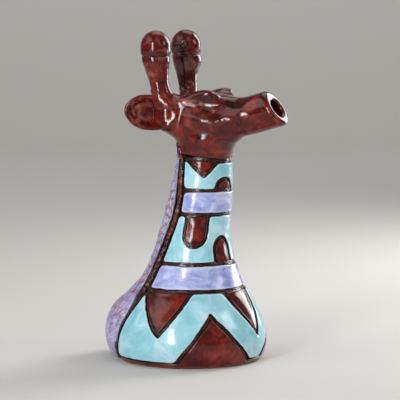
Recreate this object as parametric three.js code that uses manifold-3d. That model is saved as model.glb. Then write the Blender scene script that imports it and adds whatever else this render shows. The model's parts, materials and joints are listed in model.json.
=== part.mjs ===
// Giraffe head ornament in glazed ceramic: a hollow flared neck, raised glaze panels and a hollow head.
// Millimetres. +X runs towards the snout, +Y to the animal's left, +Z up.
import * as THREE from 'three';
import { mergeVertices } from 'three/addons/utils/BufferGeometryUtils.js';
import Module from 'manifold-3d';

const wasm = await Module();
wasm.setup();

// Clearances and walls
const gap = 0.3; // between pieces that touch
const wall = 6; // clay wall of the neck and the skull
const grooveWidth = 2.8; // bare line between two glazed panels
const panelThickness = 2.5;

// Bands up the neck, each from the middle of one groove to the middle of the next
const footHeight = 5;
const skirtHeight = 61.8;
const lowerLavenderHeight = 23.5;
const middleHeight = 44.3;
const upperLavenderHeight = 21.8;
const collarHeight = 28.5;
const skirtTop = footHeight + skirtHeight;
const lowerLavenderTop = skirtTop + lowerLavenderHeight;
const turquoiseTop = lowerLavenderTop + middleHeight;
const upperLavenderTop = turquoiseTop + upperLavenderHeight;
const collarTop = upperLavenderTop + collarHeight;

// Neck, measured outside the bare wall under the panels
const neckTop = collarTop + grooveWidth / 2 - gap;
const neckForward = 16.5; // how far the neck leans forward at its top
const neckRadius = 22.4; // at its top
const footRadius = 68; // where the flared foot is widest
const neckProfile = [
  // share of the height, of the lean, and of the way from the neck's radius to the foot's
  [0, 0, 0.8684],
  [0.0323, 0, 0.9452],
  [0.0968, 0, 1],
  [0.1667, 0, 0.9649],
  [0.2419, 0.0364, 0.8311],
  [0.3118, 0.097, 0.6491],
  [0.3871, 0.1939, 0.4474],
  [0.4946, 0.2667, 0.2851],
  [0.5914, 0.3273, 0.1798],
  [0.6613, 0.4364, 0.1272],
  [0.7849, 0.7152, 0.0855],
  [0.9032, 0.9091, 0.0351],
  [1, 1, 0],
];
const neckStations = neckProfile.map(([rise, lean, flare]) => {
  const radius = THREE.MathUtils.lerp(neckRadius, footRadius, flare);
  return { height: rise * neckTop, forward: lean * neckForward, halfLength: radius, halfWidth: radius };
});

// Throat of the head, above the neck and flush with its panels
const throatRise = 30;
const throatStations = [
  { height: neckTop + 5, forward: neckForward + 0.6, halfLength: neckRadius + 0.6, halfWidth: neckRadius + 0.4 },
  { height: neckTop + 11, forward: neckForward + 1.3, halfLength: neckRadius + 2.1, halfWidth: neckRadius + 0.8 },
  { height: neckTop + 17, forward: neckForward + 2.5, halfLength: neckRadius + 4.6, halfWidth: neckRadius + 1.2 },
  { height: neckTop + throatRise, forward: neckForward, halfLength: neckRadius + 7.6, halfWidth: neckRadius - 0.9 },
];
const bodyStations = [...neckStations, ...throatStations];

// Seam down each side: where the panels end and where the back slabs begin, in degrees from the front
const seamProfile = [
  { rise: 0, panel: 134, coil: 138, slab: 142 },
  { rise: 0.0968, panel: 127, coil: 131, slab: 133.5 },
  { rise: 0.1774, panel: 123, coil: 127, slab: 129.5 },
  { rise: 0.2688, panel: 119, coil: 123, slab: 127 },
  { rise: 0.3441, panel: 115.5, coil: 124, slab: 134 },
  { rise: 0.4194, panel: 113.5, coil: 124, slab: 136 },
  { rise: 0.4946, panel: 109, coil: 119, slab: 132 },
  { rise: 0.5914, panel: 102.5, coil: 112, slab: 124 },
  { rise: 0.7097, panel: 96.5, coil: 105.5, slab: 117 },
  { rise: 0.8065, panel: 97, coil: 106.5, slab: 119 },
  { rise: 0.8925, panel: 104, coil: 115, slab: 128 },
  { rise: 0.9785, panel: 109, coil: 123, slab: 138 },
];
const seamStations = [
  ...seamProfile.map(({ rise, ...angles }) => ({ height: rise * neckTop, ...angles })),
  { height: neckTop + 6, panel: 112, coil: 130, slab: 148 },
  { height: neckTop + 17, panel: 112, coil: 146, slab: 168 },
];

// Back slabs and seam coils
const slabThickness = 4;
const slabEdge = 2.6; // thickness where a slab meets its seam
const maneTop = neckTop + 16.5;
const maneBottom = skirtTop - 5.3;
const maneGap = 0.6; // between the mane and the rump
const rumpTop = maneBottom - maneGap;
const rumpStations = [
  { height: 0, bulge: 6.8 },
  { height: 0.133 * rumpTop, bulge: 7.9 },
  { height: 0.333 * rumpTop, bulge: 8.6 },
  { height: 0.533 * rumpTop, bulge: 9.6 },
  { height: 0.7 * rumpTop, bulge: 11 },
  { height: 0.833 * rumpTop, bulge: 10.8 },
  { height: 0.933 * rumpTop, bulge: 8.8 },
  { height: rumpTop, bulge: 6.9 },
];
const maneLength = maneTop - maneBottom;
const maneStations = [ // the mane swells where it meets the rump
  { height: maneBottom, bulge: 6.6 },
  { height: maneBottom + 0.05 * maneLength, bulge: 4.6 },
  { height: maneBottom + 0.11 * maneLength, bulge: 2.7 },
  { height: maneBottom + 0.18 * maneLength, bulge: 1 },
  { height: maneBottom + 0.24 * maneLength, bulge: 0 },
];
const laceSpacing = 12; // from one row of raised lace pads to the next
const laceColumns = 4; // pads across the mane
const laceHeight = 0.8;
const laceFacets = 4; // along and across one pad
const coilWidth = 6;
const coilThickness = 3.2;
const coilEdge = 1.1;
const throatLift = 1.2; // how much the back pieces rise where they run onto the throat
const thinnest = 0.9;
const coilBottom = maneBottom;
const coilTop = maneTop - 1.5;

// Glaze motifs, each from a band's edge: angles in degrees from the front towards the right side
const sideAngle = 61; // collar triangle and hanging tongue
const frontAngle = 12.5; // small arches
const collarTriangle = { angle: 65, halfAngle: 30, apexAngle: sideAngle, length: 12 };
const collarArch = { angle: frontAngle, halfAngle: 17.5, straight: 1.2, rounded: 6.4 };
const tongue = { angle: sideAngle, halfAngle: 16.5, straight: 14.2, rounded: 12.5 };
const middleArch = { angle: frontAngle, halfAngle: 13, straight: 10.3, rounded: 10.5 };
const frontTriangle = { angle: 2, halfAngle: 21, apexAngle: -2, length: 35.4 };
const sideTriangle = { angle: 89, halfAngle: 26, apexAngle: 84, length: 32.9 };
const standingTriangle = { angle: 39.5, halfAngle: 30, apexAngle: 42.5, length: 41 };

// Skull and snout, from the top of the neck: forward, underside, top and half width
const skullStations = [
  { forward: -42, underside: 34, top: 41, halfWidth: 7, squareness: 2.3 },
  { forward: -40.5, underside: 31, top: 44, halfWidth: 13.5, squareness: 2.5 },
  { forward: -36.5, underside: 26, top: 47.5, halfWidth: 19.5, squareness: 2.6 },
  { forward: -28.5, underside: 20, top: 51, halfWidth: 23.8, squareness: 2.7 },
  { forward: -16.5, underside: 14.5, top: 54, halfWidth: 25.3, squareness: 2.7 },
  { forward: -6.5, underside: 13, top: 55, halfWidth: 25.6, squareness: 2.6 },
  { forward: 3.5, underside: 13, top: 56.5, halfWidth: 25, squareness: 2.5 },
  { forward: 16.5, underside: 14, top: 57, halfWidth: 22, squareness: 2.3 },
  { forward: 25.5, underside: 15, top: 55.5, halfWidth: 19, squareness: 2.2 },
  { forward: 33.5, underside: 16.3, top: 54.2, halfWidth: 16.9, squareness: 2.1 },
  { forward: 40.5, underside: 18.7, top: 54.5, halfWidth: 15.8, squareness: 2 },
  { forward: 53.5, underside: 22, top: 58.2, halfWidth: 15.2, squareness: 2 },
  { forward: 92, underside: 33.5, top: 69, halfWidth: 15, squareness: 2 },
];
const hollowEnd = 20; // how far forward the skull's hollow keeps its width
const funnelLength = 12; // from there it narrows to the snout's bore
const faceCentre = { forward: 74.1, height: 45.4 }; // middle of the open end of the snout
const faceTilt = 34; // the open end leans back, in degrees from upright
const snoutRise = 16; // slope of the bore, in degrees
const mouthRadius = 8.25;

const brow = { forward: -4, side: 17.5, height: 52, halfLength: 22, radius: 6.5, rise: 20 };
const eyeSocket = { forward: 19.5, side: 26, height: 40, halfLength: 22, depthRadius: 8.5, halfHeight: 9.5 };

// Ears: shallow cups that spread back and out from the sides of the skull
const ear = { forward: -37.4, side: 35.9, height: 40, halfLength: 23.5, halfHeight: 16.5, halfDepth: 10 };
const earSweep = 30; // how far the ear turns out from straight back, in degrees
const earLift = 8; // its tip stands higher than its root, in degrees
const earRim = 5;

// Horns: stalks that widen upwards, each under its own knob
const hornStations = [
  { forward: -30.4, side: 21.6, height: 43, radius: 8.6 },
  { forward: -31.4, side: 23.2, height: 49.5, radius: 9.4 },
  { forward: -32.6, side: 24.6, height: 57, radius: 8.5 },
  { forward: -34, side: 25.6, height: 68, radius: 9 },
  { forward: -35.3, side: 26.4, height: 79, radius: 11 },
  { forward: -36.2, side: 27, height: 86, radius: 12.2 },
  { forward: -36.4, side: 27, height: 90, radius: 12 },
];
const knobRadius = 13.8;
const knobHeight = 23.4; // above its seat on the stalk
const knobWaist = 8.6; // height of its widest level above the seat
const knobSeatRadius = 12.4;

const glazes = {
  brown: { color: 0x5f2319, roughness: 0.18, metalness: 0 },
  turquoise: { color: 0x8cccd7, roughness: 0.2, metalness: 0 },
  lavender: { color: 0xaaafe1, roughness: 0.25, metalness: 0 },
  bisque: { color: 0x2a120e, roughness: 0.45, metalness: 0 },
};

const ringSteps = 36;
const hornSides = 18;

function radians(degrees) {
  return THREE.MathUtils.degToRad(degrees);
}

// Smooth value of one field at a height between stations, level beyond the ends
function valueAt(stations, field, height) {
  const last = stations.length - 1;
  if (height <= stations[0].height) return stations[0][field];
  if (height >= stations[last].height) return stations[last][field];
  const i = stations.findIndex((station) => station.height > height) - 1;
  const slope = (k) => {
    const before = stations[Math.max(k - 1, 0)];
    const after = stations[Math.min(k + 1, last)];
    return (after[field] - before[field]) / (after.height - before.height);
  };
  const span = stations[i + 1].height - stations[i].height;
  const t = (height - stations[i].height) / span;
  return (
    (1 + 2 * t) * (1 - t) ** 2 * stations[i][field] +
    t * (1 - t) ** 2 * span * slope(i) +
    t * t * (3 - 2 * t) * stations[i + 1][field] +
    t * t * (t - 1) * span * slope(i + 1)
  );
}

// Point on the neck or throat, a given distance outside the bare wall
function bodyPoint(degrees, height, offset) {
  const angle = radians(degrees);
  return new THREE.Vector3(
    valueAt(bodyStations, 'forward', height) +
      (valueAt(bodyStations, 'halfLength', height) + offset) * Math.cos(angle),
    -(valueAt(bodyStations, 'halfWidth', height) + offset) * Math.sin(angle),
    height,
  );
}

function geometryFrom(points, triangles) {
  const geometry = new THREE.BufferGeometry();
  geometry.setAttribute('position', new THREE.Float32BufferAttribute(points.flatMap((p) => p.toArray()), 3));
  let volume = 0;
  for (const [a, b, c] of triangles) {
    volume += points[a].dot(new THREE.Vector3().crossVectors(points[b], points[c]));
  }
  const outward = volume > 0 ? triangles : triangles.map(([a, b, c]) => [a, c, b]);
  geometry.setIndex(outward.flat());
  return geometry;
}

// Closed skin through rings of equal count, with a flat fan at each end
function loft(rings) {
  const count = rings[0].length;
  const points = rings.flat();
  const triangles = [];
  for (let r = 0; r < rings.length - 1; r += 1) {
    for (let k = 0; k < count; k += 1) {
      const next = (k + 1) % count;
      const low = r * count;
      const high = low + count;
      triangles.push([low + k, low + next, high + next], [low + k, high + next, high + k]);
    }
  }
  for (const end of [0, rings.length - 1]) {
    const centre = new THREE.Vector3();
    rings[end].forEach((p) => centre.add(p));
    points.push(centre.divideScalar(count));
    for (let k = 0; k < count; k += 1) {
      const next = (k + 1) % count;
      const [a, b] = end === 0 ? [next, k] : [end * count + k, end * count + next];
      triangles.push([points.length - 1, a, b]);
    }
  }
  return geometryFrom(points, triangles);
}

// Curved plate on the body: rows of height, columns from one edge angle to the other
function plate({ heights, fromAngle, toAngle, columns, inner, outer }) {
  const points = [];
  for (const surface of [inner, outer]) {
    for (const height of heights) {
      for (let c = 0; c <= columns; c += 1) {
        const across = c / columns;
        const degrees = THREE.MathUtils.lerp(fromAngle(height), toAngle(height), across);
        points.push(bodyPoint(degrees, height, surface(height, across)));
      }
    }
  }
  const wide = columns + 1;
  const sheet = heights.length * wide;
  const at = (layer, row, column) => layer * sheet + row * wide + column;
  const triangles = [];
  const quad = (a, b, c, d) => triangles.push([a, b, c], [a, c, d]);
  for (let r = 0; r < heights.length - 1; r += 1) {
    for (let c = 0; c < columns; c += 1) {
      quad(at(1, r, c), at(1, r, c + 1), at(1, r + 1, c + 1), at(1, r + 1, c));
      quad(at(0, r, c), at(0, r + 1, c), at(0, r + 1, c + 1), at(0, r, c + 1));
    }
    quad(at(0, r, 0), at(1, r, 0), at(1, r + 1, 0), at(0, r + 1, 0));
    quad(at(0, r, columns), at(0, r + 1, columns), at(1, r + 1, columns), at(1, r, columns));
  }
  const top = heights.length - 1;
  for (let c = 0; c < columns; c += 1) {
    quad(at(0, 0, c), at(0, 0, c + 1), at(1, 0, c + 1), at(1, 0, c));
    quad(at(0, top, c), at(1, top, c), at(1, top, c + 1), at(0, top, c + 1));
  }
  return geometryFrom(points, triangles);
}

function solid(geometry) {
  const bare = geometry.clone();
  bare.deleteAttribute('normal');
  bare.deleteAttribute('uv');
  const merged = mergeVertices(bare, 1e-4);
  return new wasm.Manifold(
    new wasm.Mesh({
      numProp: 3,
      vertProperties: new Float32Array(merged.attributes.position.array),
      triVerts: new Uint32Array(merged.index.array),
    }),
  );
}

function geometryOf(manifold) {
  const mesh = manifold.getMesh();
  const geometry = new THREE.BufferGeometry();
  geometry.setAttribute('position', new THREE.Float32BufferAttribute(mesh.vertProperties, 3));
  geometry.setIndex([...mesh.triVerts]);
  return geometry;
}

function steps(from, to, longest) {
  const count = Math.max(1, Math.ceil((to - from) / longest));
  return Array.from({ length: count + 1 }, (_, i) => from + ((to - from) * i) / count);
}

function bodyRing(height, offset, count = ringSteps) {
  return Array.from({ length: count }, (_, k) => bodyPoint((k * 360) / count, height, offset));
}

// Outline of a motif as [degrees, height], grown by a distance measured on the wall at its own level
function grownOutline(outline, distance) {
  const middle = outline.reduce((sum, point) => sum + point[1], 0) / outline.length;
  const radius = valueAt(bodyStations, 'halfLength', middle) + panelThickness;
  const flat = outline.map(([degrees, height]) => new THREE.Vector2(radians(degrees) * radius, height));
  const turn = THREE.ShapeUtils.area(flat) > 0 ? 1 : -1;
  return flat.map((point, i) => {
    const before = point.clone().sub(flat[(i + flat.length - 1) % flat.length]).normalize();
    const after = flat[(i + 1) % flat.length].clone().sub(point).normalize();
    const normalBefore = new THREE.Vector2(before.y, -before.x).multiplyScalar(turn);
    const normalAfter = new THREE.Vector2(after.y, -after.x).multiplyScalar(turn);
    const miter = normalBefore.add(normalAfter).normalize();
    const reach = distance / Math.max(miter.dot(normalAfter), 0.45);
    const moved = point.clone().addScaledVector(miter, reach);
    return [THREE.MathUtils.radToDeg(moved.x / radius), moved.y];
  });
}

// Wedge through the wall under an outline, for cutting panels and motifs
function wedge(outline) {
  const cutDepth = 3;
  const cutReach = 26;
  const longestStep = 6;
  const dense = outline.flatMap(([degrees, height], i) => {
    const [nextDegrees, nextHeight] = outline[(i + 1) % outline.length];
    const count = Math.max(1, Math.ceil(Math.abs(nextDegrees - degrees) / longestStep));
    return Array.from({ length: count }, (_, k) => [
      degrees + ((nextDegrees - degrees) * k) / count,
      height + ((nextHeight - height) * k) / count,
    ]);
  });
  const flat = dense.map(([degrees, height]) => new THREE.Vector2(degrees, height));
  const faces = THREE.ShapeUtils.triangulateShape(flat, []);
  const count = dense.length;
  const points = [-cutDepth, cutReach].flatMap((offset) => dense.map(([d, h]) => bodyPoint(d, h, offset)));
  const triangles = faces.flatMap(([a, b, c]) => [[a, b, c], [a + count, c + count, b + count]]);
  for (let k = 0; k < count; k += 1) {
    const next = (k + 1) % count;
    const inwardFirst = THREE.ShapeUtils.area(flat) > 0;
    const a = inwardFirst ? k : next;
    const b = inwardFirst ? next : k;
    triangles.push([a, b + count, b], [a, a + count, b + count]);
  }
  return solid(geometryFrom(points, triangles));
}

function mirrored(outline) {
  return outline.map(([degrees, height]) => [-degrees, height]).reverse();
}

const up = 1;
const down = -1;

// Triangle that stands on a base or hangs from it, or starts some way before the base with the same slopes
function triangleOutline({ angle, halfAngle, apexAngle, length }, baseHeight, way, before = 0) {
  const stretch = (length + before) / length;
  const corner = (turn) => [apexAngle + (angle + turn - apexAngle) * stretch, baseHeight - way * before];
  return [corner(-halfAngle), corner(halfAngle), [apexAngle, baseHeight + way * length]];
}

// Outline with straight sides from its base and a half-oval end
function roundOutline({ angle, halfAngle, straight, rounded }, baseHeight, way, before = 0) {
  const arcSteps = 8;
  const base = baseHeight - way * before;
  const points = [[angle - halfAngle, base], [angle + halfAngle, base]];
  for (let k = 0; k <= arcSteps; k += 1) {
    const turn = (Math.PI * k) / arcSteps;
    points.push([
      angle + halfAngle * Math.cos(turn),
      baseHeight + way * (straight + rounded * Math.sin(turn)),
    ]);
  }
  return points;
}

const group = new THREE.Group();
const headGroup = new THREE.Group();
headGroup.position.set(neckForward, 0, neckTop);
group.add(headGroup);

function addPiece(name, geometry, glaze, parent = group) {
  const flat = geometry.toNonIndexed();
  flat.computeVertexNormals();
  const mesh = new THREE.Mesh(flat, new THREE.MeshStandardMaterial(glazes[glaze]));
  mesh.name = name;
  parent.add(mesh);
}

const neckLevels = neckStations.map((station) => station.height);

// Neck: one hollow wall, open underneath and at the top
function makeNeck() {
  const outer = solid(loft(neckLevels.map((height) => bodyRing(height, 0))));
  const innerRises = [0.043, 0.129, 0.226, 0.312, 0.409, 0.527, 0.677, 0.839];
  const innerLevels = [-1, ...innerRises.map((rise) => rise * neckTop), neckTop + 1];
  const hollow = solid(loft(innerLevels.map((height) => bodyRing(height, -wall, 28))));
  addPiece('neck_core', geometryOf(outer.subtract(hollow)), 'bisque');
}

// The room that the bare neck needs, for cutting the backs of the pieces laid on it
const clearNeck = solid(loft([-1, ...neckLevels, neckTop + 1].map((height) => bodyRing(height, gap))));

const buried = 1; // a plate starts this far inside the wall, and is then cut clear of it

// One raised band from seam to seam, before its motifs are cut
function band(bottom, top, longestStep = 11) {
  return solid(plate({
    heights: steps(bottom, top, longestStep),
    fromAngle: (height) => -valueAt(seamStations, 'panel', height),
    toAngle: (height) => valueAt(seamStations, 'panel', height),
    columns: 24,
    inner: () => -buried,
    outer: () => panelThickness,
  })).subtract(clearNeck);
}

const half = grooveWidth / 2;
const beyond = 4; // a cut at a band's edge runs past it

function makeBands() {
  const skirtBottom = footHeight + gap;
  let foot = band(0, footHeight);
  let skirt = band(skirtBottom, skirtTop - half, 9);
  let turquoise = band(lowerLavenderTop + half, turquoiseTop - half);
  let collar = band(upperLavenderTop + half, collarTop - half);
  const collarBand = collar;
  const turquoiseBand = turquoise;
  const skirtBand = skirt;
  const footBand = band(0, skirtTop - half, 9);

  const asDrawn = (outline) => outline;
  const cutMotif = (name, whole, panel, draw, shape, base, way, flip) => {
    addPiece(name, geometryOf(whole.intersect(wedge(flip(draw(shape, base, way))))), 'brown');
    return panel.subtract(wedge(flip(grownOutline(draw(shape, base, way, beyond), grooveWidth))));
  };

  const archBase = upperLavenderTop + half;
  const doorBase = lowerLavenderTop + half;
  const veeBase = collarTop - half;
  const tongueBase = turquoiseTop - half;
  const fangBase = skirtTop - half;
  const peakBase = footHeight - 1; // inside the foot, so that they make one piece
  for (const [side, flip] of [['right', asDrawn], ['left', mirrored]]) {
    const vee = `collar_triangle_${side}`;
    const lobe = `hanging_tongue_${side}`;
    const fang = `skirt_triangle_${side}`;
    collar = cutMotif(vee, collarBand, collar, triangleOutline, collarTriangle, veeBase, down, flip);
    turquoise = cutMotif(lobe, turquoiseBand, turquoise, roundOutline, tongue, tongueBase, down, flip);
    skirt = cutMotif(fang, skirtBand, skirt, triangleOutline, sideTriangle, fangBase, down, flip);
  }
  collar = cutMotif(
    'collar_arch_front', collarBand, collar, roundOutline, collarArch, archBase, up, asDrawn,
  );
  turquoise = cutMotif(
    'middle_arch_front', turquoiseBand, turquoise, roundOutline, middleArch, doorBase, up, asDrawn,
  );
  skirt = cutMotif(
    'skirt_triangle_front', skirtBand, skirt, triangleOutline, frontTriangle, fangBase, down, asDrawn,
  );

  // The foot rises into a standing triangle on each side, in one piece
  for (const flip of [asDrawn, mirrored]) {
    const peak = triangleOutline(standingTriangle, peakBase, up);
    foot = foot.add(footBand.intersect(wedge(flip(peak))));
    const peakCut = grownOutline(triangleOutline(standingTriangle, peakBase, up, beyond), grooveWidth);
    skirt = skirt.subtract(wedge(flip(peakCut)));
  }

  addPiece('foot_rim', geometryOf(foot), 'brown');
  addPiece('turquoise_skirt', geometryOf(skirt), 'turquoise');
  addPiece('lavender_band_lower', geometryOf(band(skirtTop + half, lowerLavenderTop - half)), 'lavender');
  addPiece('turquoise_band_middle', geometryOf(turquoise), 'turquoise');
  addPiece('lavender_band_upper', geometryOf(band(turquoiseTop + half, upperLavenderTop - half)), 'lavender');
  addPiece('turquoise_collar', geometryOf(collar), 'turquoise');
}

// What lies under a back piece: the bare wall, or the throat of the head above it
function seat(height) {
  return height < neckTop ? 0 : panelThickness;
}

// A back piece thins over the throat, so that its outside runs on
function lifted(height, thickness) {
  return height < neckTop ? thickness : Math.max(thickness + throatLift, panelThickness + gap + thinnest);
}

function backHeights(bottom, top, longest = 10) {
  return [
    ...steps(bottom, neckTop - 1, longest), neckTop, ...steps(neckTop + 4, top, Math.min(longest, 6)),
  ];
}

// Pads that stand up between the pressed lines of the lace, in staggered rows
function lacePad(height, across) {
  const row = (height - maneBottom) / laceSpacing;
  const stagger = Math.floor(row) % 2 === 0 ? 0 : 0.5;
  const column = (across - 0.5) * laceColumns + stagger;
  return laceHeight * Math.abs(Math.sin(Math.PI * row) * Math.cos(Math.PI * column));
}

function makeBack(clearHead) {
  const onBody = (geometry) => geometryOf(
    solid(geometry).subtract(clearNeck).subtract(clearHead.translate([neckForward, 0, neckTop])),
  );
  const crown = (across) => Math.min(1, 4 * Math.min(across, 1 - across));
  const backOut = (stations, height, across) => (
    THREE.MathUtils.lerp(slabEdge, slabThickness, crown(across)) +
    valueAt(stations, 'bulge', height) * Math.sin(Math.PI * across) ** 0.8
  );
  const inner = (height) => seat(height) - buried;
  addPiece('mane_slab', onBody(plate({
    heights: backHeights(maneBottom, maneTop, laceSpacing / laceFacets),
    fromAngle: (height) => valueAt(seamStations, 'slab', height),
    toAngle: (height) => 360 - valueAt(seamStations, 'slab', height),
    columns: laceColumns * laceFacets,
    inner,
    outer: (height, across) => (
      lifted(height, backOut(maneStations, height, across)) + crown(across) * lacePad(height, across)
    ),
  })), 'lavender');

  addPiece('rump_slab', onBody(plate({
    heights: rumpStations.map((station) => station.height),
    fromAngle: (height) => valueAt(seamStations, 'slab', height),
    toAngle: (height) => 360 - valueAt(seamStations, 'slab', height),
    columns: 14,
    inner,
    outer: (height, across) => backOut(rumpStations, height, across),
  })), 'lavender');

  for (const [side, sign] of [['right', 1], ['left', -1]]) {
    const spread = (height) => THREE.MathUtils.radToDeg(
      coilWidth / 2 / valueAt(bodyStations, 'halfLength', height),
    );
    addPiece(`seam_coil_${side}`, onBody(plate({
      heights: backHeights(coilBottom, coilTop),
      fromAngle: (height) => sign * (valueAt(seamStations, 'coil', height) - spread(height)),
      toAngle: (height) => sign * (valueAt(seamStations, 'coil', height) + spread(height)),
      columns: 4,
      inner,
      outer: (height, across) => lifted(
        height,
        coilEdge + (coilThickness - coilEdge) * Math.sin(Math.PI * across),
      ),
    })), 'brown');
  }
}

// Upright ring of the skull or snout, grown or shrunk by a distance
function skullRing(station, grow, count) {
  const halfHeight = (station.top - station.underside) / 2 + grow;
  const middle = (station.top + station.underside) / 2;
  const power = 2 / station.squareness;
  return Array.from({ length: count }, (_, k) => {
    const turn = (2 * Math.PI * k) / count;
    const c = Math.cos(turn);
    const s = Math.sin(turn);
    return new THREE.Vector3(
      station.forward,
      Math.sign(c) * Math.abs(c) ** power * (station.halfWidth + grow),
      middle + Math.sign(s) * Math.abs(s) ** power * halfHeight,
    );
  });
}

function oval(centre, radii, turnY = 0, turnZ = 0, wide = 16, high = 8) {
  const geometry = new THREE.SphereGeometry(1, wide, high);
  geometry.scale(...radii);
  geometry.rotateY(-radians(turnY));
  geometry.rotateZ(radians(turnZ));
  geometry.translate(...centre);
  return solid(geometry);
}

// Outside of the head in its own group's frame
function headOutside(grow) {
  const skull = solid(loft(skullStations.map((station) => skullRing(station, grow, 28))));
  const throatHeights = [gap - grow, 5, 11, 17, 23, throatRise];
  const throat = solid(loft(throatHeights.map((height) => bodyRing(neckTop + height, panelThickness + grow)
    .map((p) => p.sub(new THREE.Vector3(neckForward, 0, neckTop))))));
  let outside = skull.add(throat);
  for (const side of [-1, 1]) {
    const centre = [brow.forward, side * brow.side, brow.height];
    const radii = [brow.halfLength + grow, brow.radius + grow, brow.radius + grow];
    outside = outside.add(oval(centre, radii, brow.rise));
  }
  return outside;
}

function headInside() {
  const reach = skullStations.filter((station) => station.forward > -37 && station.forward < hollowEnd);
  const rings = reach.map((station) => skullRing(station, -wall, 16));
  const funnelEnd = hollowEnd + funnelLength;
  const boreMiddle = faceCentre.height - (faceCentre.forward - funnelEnd) * Math.tan(radians(snoutRise));
  rings.push(rings[0].map((_, k) => new THREE.Vector3(
    funnelEnd,
    (mouthRadius - gap) * Math.cos((2 * Math.PI * k) / 16),
    boreMiddle + (mouthRadius - gap) * Math.sin((2 * Math.PI * k) / 16),
  )));
  const skull = solid(loft(rings));
  const throat = solid(loft([-1, 8, 16, throatRise - 4].map((height) => bodyRing(neckTop + height, -wall, 20)
    .map((p) => p.sub(new THREE.Vector3(neckForward, 0, neckTop))))));
  const boreLength = 2 * (faceCentre.forward - hollowEnd + wall);
  const bore = new THREE.CylinderGeometry(mouthRadius, mouthRadius, boreLength, 20);
  bore.rotateZ(-Math.PI / 2);
  bore.rotateY(-radians(snoutRise));
  bore.translate(faceCentre.forward, 0, faceCentre.height);
  return skull.add(throat).add(solid(bore));
}

function makeHead() {
  const cutSize = 90;
  const openEnd = new THREE.BoxGeometry(cutSize, cutSize, cutSize);
  openEnd.translate(cutSize / 2, 0, 0);
  openEnd.rotateY(-radians(faceTilt));
  openEnd.translate(faceCentre.forward, 0, faceCentre.height);
  let head = headOutside(0).subtract(solid(openEnd)).subtract(headInside());
  for (const side of [-1, 1]) {
    const centre = [eyeSocket.forward, side * eyeSocket.side, eyeSocket.height];
    head = head.subtract(oval(centre, [eyeSocket.halfLength, eyeSocket.depthRadius, eyeSocket.halfHeight]));
  }
  addPiece('head', geometryOf(head), 'brown', headGroup);
}

function hornRings(side, grow) {
  return hornStations.map((station) => Array.from({ length: hornSides }, (_, k) => {
    const turn = (2 * Math.PI * k) / hornSides;
    return new THREE.Vector3(
      station.forward + (station.radius + grow) * Math.cos(turn),
      side * station.side + (station.radius + grow) * Math.sin(turn),
      station.height,
    );
  }));
}

function makeHorn(side, name, clearHead) {
  const stalk = solid(loft(hornRings(side, 0))).subtract(clearHead);
  addPiece(`horn_stalk_${name}`, geometryOf(stalk), 'brown', headGroup);

  const top = hornStations[hornStations.length - 1];
  const capSteps = 5;
  const profile = [new THREE.Vector2(0, gap), new THREE.Vector2(knobSeatRadius, gap)];
  profile.push(new THREE.Vector2((knobSeatRadius + knobRadius) / 2 + 0.3, knobWaist * 0.45));
  for (let k = 0; k < capSteps; k += 1) {
    const turn = (Math.PI / 2) * (k / capSteps);
    profile.push(new THREE.Vector2(
      knobRadius * Math.cos(turn),
      knobWaist + (knobHeight - knobWaist) * Math.sin(turn),
    ));
  }
  profile.push(new THREE.Vector2(0, knobHeight));
  const knob = new THREE.LatheGeometry(profile, 20);
  knob.rotateX(Math.PI / 2);
  knob.translate(top.forward, side * top.side, top.height);
  addPiece(`horn_knob_${name}`, geometryOf(solid(knob)), 'brown', headGroup);
}

// Ear: a flattened oval with a smaller oval taken out of its outward side
function makeEar(side, name, clearHead) {
  const turn = side * (180 - earSweep);
  const centre = [ear.forward, side * ear.side, ear.height];
  const whole = oval(centre, [ear.halfLength, ear.halfDepth, ear.halfHeight], earLift, turn, 20, 10);
  const outward = new THREE.Vector3(Math.sin(radians(earSweep)), side * Math.cos(radians(earSweep)), 0);
  const half = new THREE.BoxGeometry(4 * ear.halfLength, 2 * ear.halfDepth, 4 * ear.halfHeight);
  half.translate(0, ear.halfDepth, 0);
  half.rotateZ(Math.atan2(outward.y, outward.x) - Math.PI / 2);
  half.translate(...centre);
  const hollowRadii = [ear.halfLength - earRim, ear.halfDepth - earRim * 0.8, ear.halfHeight - earRim];
  const cup = whole.subtract(solid(half)).subtract(oval(centre, hollowRadii, earLift, turn, 16, 8));
  const stalk = solid(loft(hornRings(side, gap)));
  addPiece(`ear_${name}`, geometryOf(cup.subtract(clearHead).subtract(stalk)), 'brown', headGroup);
}

const clearHead = headOutside(gap);
makeNeck();
makeBands();
makeBack(clearHead);
makeHead();
for (const [side, name] of [[-1, 'right'], [1, 'left']]) {
  makeHorn(side, name, clearHead);
  makeEar(side, name, clearHead);
}

// The origin is under the middle of the whole piece, on the table
group.updateMatrixWorld(true);
const extent = new THREE.Box3().setFromObject(group);
group.position.x = -(extent.min.x + extent.max.x) / 2;

export default group;
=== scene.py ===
import json
import math
import bpy
import numpy as np
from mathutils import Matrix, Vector
from mathutils.bvhtree import BVHTree
from mathutils.geometry import delaunay_2d_cdt

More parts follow.
